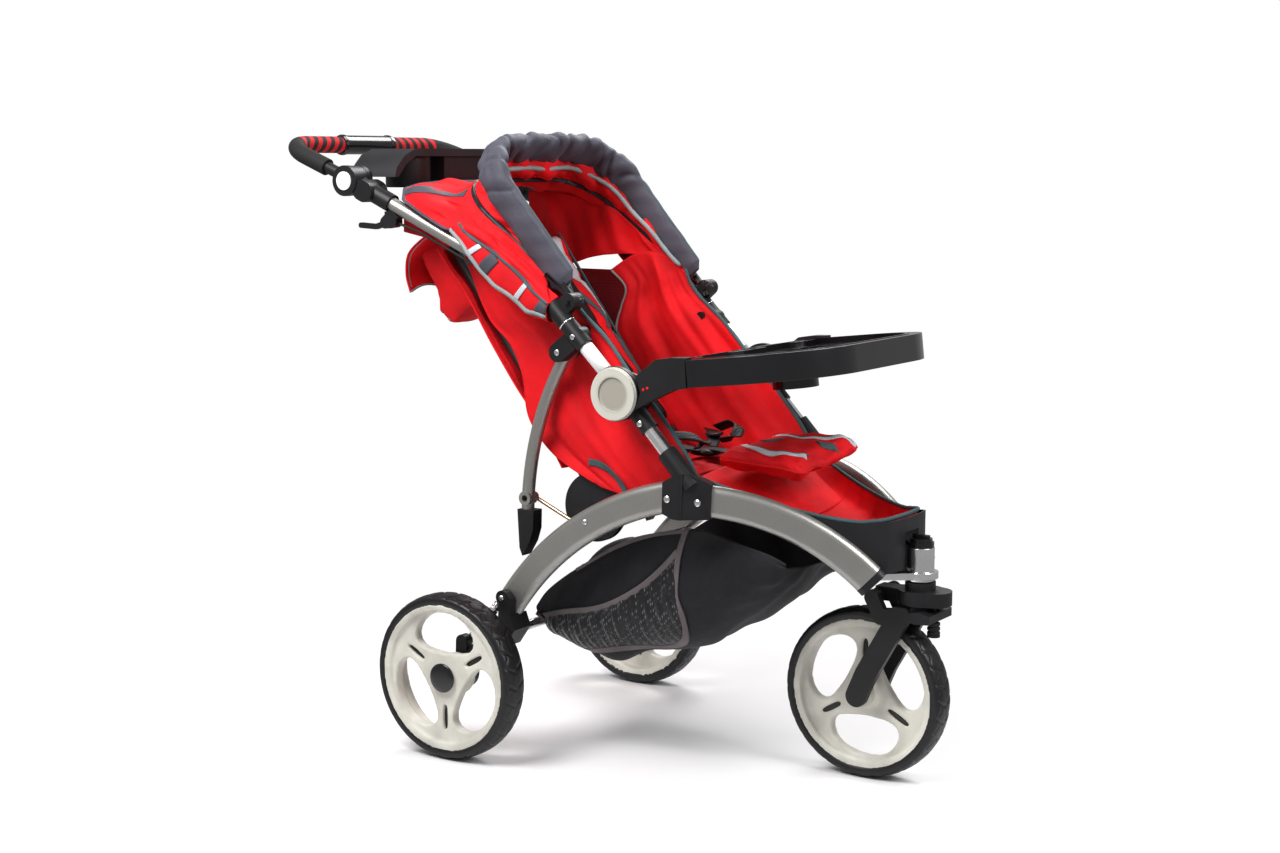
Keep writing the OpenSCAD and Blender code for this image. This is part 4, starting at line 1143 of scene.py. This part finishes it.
def build_calf_pad():
    """Puffed calf pad with its tapes, squares and seam; its front corners curl."""
    lo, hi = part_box("calf_pad")
    length = hi.x - lo.x
    pad = copy_of_node("calf_cushion", "calf_pad", "red_fabric")
    puff(pad, 0.006, 5.0, 0.012, 0.002)
    subdivide(pad)

    def twist(co):
        out = co.copy()
        t = np.clip((co[:, 0] - lo.x) / length, 0, 1.1)
        s = co[:, 1] / hi.y
        out[:, 2] += 0.013 * t * s + 0.005 * np.sin(t * 3.1) - 0.006 * t * t * (1 - s * s)
        out[:, 0] += 0.006 * np.cos(s * 1.6) * t
        edge = np.clip(t * 1.3 - 0.3, 0, 1)
        out[:, 2] += 0.0022 * np.sin(co[:, 1] * 95) * edge
        out[:, 2] += 0.0012 * np.sin(co[:, 0] * 120 + co[:, 1] * 60)
        return out

    lines = []
    for y in (-92, 92):
        lines.append([(lo.x + 0.02, y * MM, hi.z), (lo.x + 0.09, y * MM * 1.05, hi.z),
                      (hi.x - 0.012, y * MM, hi.z)])
    down = (0, 0, -1)
    sew_channels(pad, lines, 0.004, 0.006, down)
    reshape(pad, twist)
    tree = surface_tree(pad)
    pieces = [pad]

    def on_pad(points):
        return [(lo.x + t * length, s * hi.y, hi.z) for t, s in points]

    runs = {
        "near": [(0.05, -0.15), (0.22, -0.52), (0.45, -0.70), (0.70, -0.66), (0.88, -0.50)],
        "far": [(0.05, 0.62), (0.30, 0.40), (0.55, 0.36), (0.80, 0.56), (0.96, 0.86)],
    }
    for label, line in runs.items():
        path = np.array(on_pad(line))
        pieces.append(tape("calf_tape_" + label, tree, path, 0.013, down, "reflective", count=50))
        shifted = path + np.array([0.0, 0.0095, 0.0])
        pieces.append(tape("calf_edge_" + label, tree, shifted, 0.004, down, "teal_binding", count=50))
    for number, (t, s) in enumerate([(0.30, 0.02), (0.84, 0.22)]):
        line = on_pad([(t - 0.06, s - 0.12), (t + 0.06, s + 0.12)])
        pieces.append(tape("calf_square_%d" % number, tree, line, 0.020, down, "teal_binding", count=10))
    centre = (lo + hi) / 2
    rim = []
    for a in np.linspace(0, TURN, 160):
        x = centre.x + (length / 2 + 0.009) * signed_power(math.cos(a), 0.28)
        rim.append((x, (hi.y + 0.007) * signed_power(math.sin(a), 0.28), centre.z))
    seam = np.array([tree.find_nearest(Vector(p))[0] for p in twist(np.array(rim))])
    pieces.append(cord("calf_seam", seam, 0.0016, "red_fabric"))
    finish(pieces, "calf_rest", "calf_pad")


# ---- Footwell: half width, rim height and floor height at x, all in mm --------------------------

def foot_width(x):
    return 212.5 - 8 - (x - 440) * math.tan(math.radians(25))


def foot_rim(x):
    return 460 + 75 * max((700 - x) / 260, 0) ** 1.5 + max(x - 700, 0) * 0.13


def foot_floor(x):
    return float(np.interp(x, (448, 500, 617, 738), (487, 469, 430, 382)))


def build_footwell():
    """Red padded lining of the footwell, a teal cord round its rim, and the apron above it."""
    half = [(x, -foot_width(x)) for x in np.linspace(450, 726, 24)]
    nose = [(726 + 14 * math.sin(a), -foot_width(726) * math.cos(a))
            for a in np.linspace(0.25, math.pi / 2, 8)]
    plan = half + nose
    plan = plan + [(x, -y) for x, y in reversed(plan[:-1])]
    rows = []
    for x, y in plan:
        rim = foot_rim(x) + 1
        centre_x = min(x, 690)
        floor = foot_floor(min(x + 6, 700)) + 5
        deep = foot_floor(min(centre_x, 690))
        rows.append([
            (x, y, rim),
            (centre_x + (x - centre_x) * 0.98, y * 0.975, rim - 8),
            (centre_x + (x - centre_x) * 0.93, y * 0.93, floor + (rim - floor) * 0.5),
            (centre_x + (x - centre_x) * 0.80, y * 0.84, floor + 7),
            (centre_x + (x - centre_x) * 0.45, y * 0.45, deep + 6),
            (centre_x, -1 if y < 0 else 1, deep + 5),
        ])
    grid = surface(mm_points(rows), 170, 44)
    n, m = grid.shape[:2]
    u = np.linspace(0, 1, m)[None, :]
    v = np.linspace(0, 1, n)[:, None]
    wall = np.exp(-((u - 0.30) / 0.20) ** 2)
    front = np.exp(-((v - 0.5) / 0.30) ** 2)
    quilt = np.abs(np.sin(v * math.pi * 19)) ** 0.6 * wall * front
    crease = 0.5 * np.sin(v * 41 + u * 7) * wall
    inward = unit(mm_points((620, 0, 520)) - grid)
    grid = grid + inward * ((quilt * 0.0085 + crease * 0.0012)[..., None])
    lining = sheet("footwell_lining", grid, 0.0024, "red_fabric")
    edge = mm_points([(x, y * 1.018, foot_rim(x) + 2.5) for x, y in plan])
    piping = cord("footwell_piping", curve(edge, 240), 0.0040, "teal_binding", ribs=0.05)
    skirt_rows = [
        [(414, -150, 520), (418, -70, 530), (418, 0, 531), (418, 70, 530), (414, 150, 520)],
        [(452, -178, 508), (452, -90, 512), (452, 0, 514), (452, 90, 512), (452, 178, 508)],
        [(500, -150, 486), (505, -80, 484), (508, 0, 482), (505, 80, 484), (500, 150, 486)],
        [(560, -118, 458), (570, -60, 455), (574, 0, 453), (570, 60, 455), (560, 118, 458)],
    ]
    skirt = ripple(surface(mm_points(skirt_rows), 50, 60), 0.002, [(2.3, 0.7, 1.0), (4.7, 0.4, 0.4)], 0.2)
    apron = sheet("calf_apron", skirt, 0.0024, "red_fabric")
    finish([lining, piping, apron], "chassis", "footwell_liner")


# ---- Harness ------------------------------------------------------------------------------------

def band_along(name, points, width, up):
    """Free-hanging webbing along a path; up is the way its face looks."""
    path = curve(points, 60)
    across = unit(np.cross(np.gradient(path, axis=0), np.array(up, float)))
    rows = [path + across * width * k for k in (-0.5, -0.25, 0.0, 0.25, 0.5)]
    return sheet(name, np.array(rows), 0.0022, "webbing")


def superblock(name, centre, half, power=3.0):
    """Rounded black block: a superellipsoid with the given half sizes."""
    rings = []
    for a in np.linspace(-math.pi / 2 + 0.04, math.pi / 2 - 0.04, 22):
        wide = signed_power(math.cos(a), 2 / power)
        rings.append([(centre[0] + half[0] * wide * signed_power(math.cos(b), 2 / power),
                       centre[1] + half[1] * wide * signed_power(math.sin(b), 2 / power),
                       centre[2] + half[2] * signed_power(math.sin(a), 2 / power))
                      for b in np.linspace(0, TURN, 44, endpoint=False)])
    return tube(name, np.array(rings), "black_plastic")


def build_harness():
    """Lap and crotch webbing with slack loops, and a rounded buckle."""
    lo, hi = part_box("harness")
    pieces = []
    for name, side in SIDES.items():
        lap = [(262, -150, 560), (285, -118, 566), (312, -80, 562), (330, -48, 556), (338, -24, 551)]
        pieces.append(band_along("lap_strap_" + name, side_points(lap, side), 0.025, (0.3, 0, 1)))
        loop = [(300, -112, 571), (338, -102, 584), (368, -76, 580), (372, -50, 567), (350, -40, 560)]
        pieces.append(band_along("lap_tail_" + name, side_points(loop, side), 0.022, (0.2, 0.6 * side, 1)))
        slider_at = side_points((318, -72, 566), side)
        pieces.append(superblock("lap_slider_" + name, slider_at, (0.014, 0.018, 0.004)))
    crotch = mm_points([(420, 0, 536), (398, 0, 545), (376, 0, 549), (356, 0, 550)])
    pieces.append(band_along("crotch_strap", crotch, 0.030, (0, 0, 1)))
    buckle_at = ((lo.x + hi.x) / 2 - 0.007, 0, hi.z - 0.001)
    pieces.append(superblock("buckle_shell", buckle_at, (0.027, 0.026, 0.0075), 2.6))
    finish(pieces, "chassis", "harness")


# ---- Basket --------------------------------------------------------------------------------------

# Heights of the basket's rim and of its bottom edge at places along x
BASKET_X = (92, 112, 150, 205, 280, 360, 440, 520, 575, 600)
BASKET_TOP = (262, 290, 320, 356, 400, 426, 438, 420, 406, 394)
BASKET_LOW = (246, 220, 186, 169, 181, 207, 248, 303, 352, 384)


def build_basket():
    """Sagging basket of black cloth: open on top, rounded along its bottom edges."""
    rows = []
    for x, top, low in zip(BASKET_X, BASKET_TOP, BASKET_LOW):
        height = top - low
        wide = 174 - 10 * max((x - 500) / 100, 0) ** 2
        base = wide - min(60, height * 0.45)
        right = [(x, -wide, top), (x, -wide - 2, top - height * 0.3), (x, -wide + 1, low + height * 0.38),
                 (x, -(wide + base) / 2 - 6, low + height * 0.12), (x, -base, low + height * 0.01 + 1)]
        middle = [(x, -base * 0.5, low - 5), (x, 0, low - 8), (x, base * 0.5, low - 5)]
        left = [(a, -b, c) for a, b, c in reversed(right)]
        rows.append(right + middle + left)
    grid = surface(mm_points(rows), 120, 130)
    folds = [(2.2, 3.1, 0.9), (5.1, 2.2, 0.6), (3.4, 6.2, 0.5), (8.0, 4.1, 0.25), (1.3, 1.4, 0.8)]
    grid = ripple(grid, 0.0036, folds, seed=1.1, pinned=0.06)
    bag = sheet("basket_bag", grid, 0.0024, "black_fabric")
    tree = surface_tree(bag)
    pieces = [bag]
    lines = [
        ("front", [(416, 446), (402, 413), (391, 376), (389, 322), (398, 275), (390, 240), (357, 213),
                   (280, 206), (218, 192), (168, 182)], 0.010),
        ("rear", [(84, 244), (104, 214), (132, 190), (166, 182)], 0.009),
        ("pocket", [(92, 240), (147, 258), (235, 278), (314, 320), (365, 366), (393, 396)], 0.010),
        ("rim", [(180, 342), (250, 384), (330, 418), (410, 436)], 0.012),
    ]
    low_edge = [(104, 216), (134, 194), (168, 186), (218, 196), (280, 210), (355, 217), (385, 240),
                (394, 275)]
    high_edge = [(96, 240), (147, 256), (235, 276), (300, 310), (330, 332), (352, 350), (372, 368),
                 (388, 388)]
    for name, side in SIDES.items():
        toward = (0, -side, 0)
        for label, line, width in lines:
            path = mm_points([(x, side * 176, z) for x, z in line])
            pieces.append(tape("basket_%s_%s" % (label, name), tree, path, width, toward, "mauve_binding",
                               lift=0.002, thick=0.003, count=70))
        low = curve(mm_points([(x, side * 190, z) for x, z in low_edge]), 70)
        high = curve(mm_points([(x, side * 190, z) for x, z in high_edge]), 70)
        grid = []
        for t in np.linspace(0, 1, 26):
            line = low * (1 - t) + high * t
            on = drape(tree, line, toward, 0.0012)
            bulge = 0.010 * math.sin(math.pi * t) ** 0.8
            s = np.linspace(0, 1, 70)
            swell = np.sin(math.pi * s) ** 0.5 * bulge
            on[:, 1] += side * (swell + 0.0012 * np.sin(s * 90 + t * 6) * (swell > 0.001))
            grid.append(on)
        pieces.append(sheet("basket_net_" + name, np.array(grid), 0.0012, "net"))
    finish(pieces, "chassis", "basket")


build_backrest()
build_rear_pocket()
build_seat()
build_calf_pad()
build_footwell()
build_harness()
build_basket()

# ---- Small hard parts ---------------------------------------------------------------------

def turned(name, profile, centre, axis, material, count=48):
    """Closed turned part from a profile of (radius, distance along the axis)."""
    axis = np.array(axis, float)
    aside = unit(np.cross(axis, (0.31, 0.17, 0.93)))
    other = np.cross(axis, aside)
    turns = np.linspace(0, TURN, count, endpoint=False)
    rings = [[np.array(centre) + axis * d + (aside * math.cos(a) + other * math.sin(a)) * r for a in turns]
             for r, d in profile]
    return tube(name, np.array(rings), material)


def domed(name, place, side, radius, height, material, body):
    """Low domed button, rivet or cap that faces sideways."""
    profile = [(radius, -0.0015), (radius, height * 0.35), (radius * 0.93, height * 0.62),
               (radius * 0.72, height * 0.86), (radius * 0.40, height * 0.97), (radius * 0.04, height)]
    piece = turned(name, profile, place, (0, side, 0), material, 40)
    finish([piece], body)


def on_tube(distance, out, side):
    """Place beside the handle tube, at a distance above the fold pivot."""
    p = FOLD + distance * ALONG
    return (p[0], side * (TUBE_Y + out), p[1])


def build_hub_caps():
    """Glossy caps on the rear hubs."""
    for name, side in SIDES.items():
        lo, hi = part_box("rear_rim_" + name)
        face = max(abs(lo.y), abs(hi.y)) - 0.0022
        domed("rear_cap_" + name, (AXLE[0], side * face, AXLE[1]), side, 0.0262, 0.0032, "gloss_black",
              "rear_wheel_" + name)


def build_slot_shadows(wheel):
    """Painted shade: dark long ovals that sit in the slots of a wheel's three spokes, standing in for the shade in
    their recesses.
    """
    body, _, rim = WHEELS[wheel]
    lo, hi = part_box(rim)
    centre = (np.array(lo) + np.array(hi)) / 2
    front = wheel == "front"
    depth = 0.007 if front else 0.004
    out = math.copysign(0.008, centre[1])
    middle = centre[1] if front else centre[1] + out
    verts, faces = [], []
    sides = 20
    for k in range(3):
        turn = math.radians(k * 120 + (90 if front else 30))
        start = len(verts)
        for y in (-depth, depth):
            for i in range(sides):
                t = TURN * i / sides
                r, w = 0.074 + 0.0285 * math.cos(t), 0.0062 * math.sin(t)
                x = r * math.cos(turn) - w * math.sin(turn)
                z = r * math.sin(turn) + w * math.cos(turn)
                verts.append((centre[0] + x, middle + y, centre[2] + z))
        for i in range(sides):
            a, b = start + i, start + (i + 1) % sides
            faces.append((a, b, b + sides, a + sides))
        faces.append(tuple(start + i for i in reversed(range(sides))))
        faces.append(tuple(start + sides + i for i in range(sides)))
    finish([new_object(wheel + "_slot_inserts", verts, faces, "slot_shadow")], body)


def build_tube_trim():
    """Bright sleeve, ring and rivets along each handle tube, and the tray's red buttons."""
    radius = 0.0131
    sleeve_profile = [(radius - 0.001, 0.0), (radius, 0.001), (radius, 0.055), (radius - 0.001, 0.056)]
    ring_profile = [(0.0150, 0), (0.0169, 0.0006), (0.0169, 0.0022), (0.0150, 0.0028)]
    axis = (ALONG[0], 0, ALONG[1])
    top = pivot("strut_pivot")
    connectors = surface_tree(frame["nodes"]["tray_connectors"])
    for name, side in SIDES.items():
        sleeve = turned("bright_sleeve_" + name, sleeve_profile, on_tube(0.050, 0, side), axis,
                        "bright_sleeve")
        ring = turned("collar_ring_" + name, ring_profile, on_tube(0.1585, 0, side), axis, "bright_alu")
        finish([sleeve, ring], "upper_frame")
        domed("tube_rivet_" + name, on_tube(0.131, 0.0158, side), side, 0.0050, 0.0026, "steel",
              "upper_frame")
        domed("strut_rivet_" + name, (top[0], side * 0.2385, top[1]), side, 0.0056, 0.0030, "steel",
              "upper_frame")
        for k, place in enumerate(side_points([(377, -400, 683), (385, -400, 686)], side)):
            hit = connectors.ray_cast(Vector(place), Vector((0, -side, 0)))[0]
            domed("tray_dot_%d_%s" % (k, name), hit, side, 0.0026, 0.0016, "red_plastic", "chassis")


build_hub_caps()
for wheel in WHEELS:
    build_slot_shadows(wheel)
build_tube_trim()
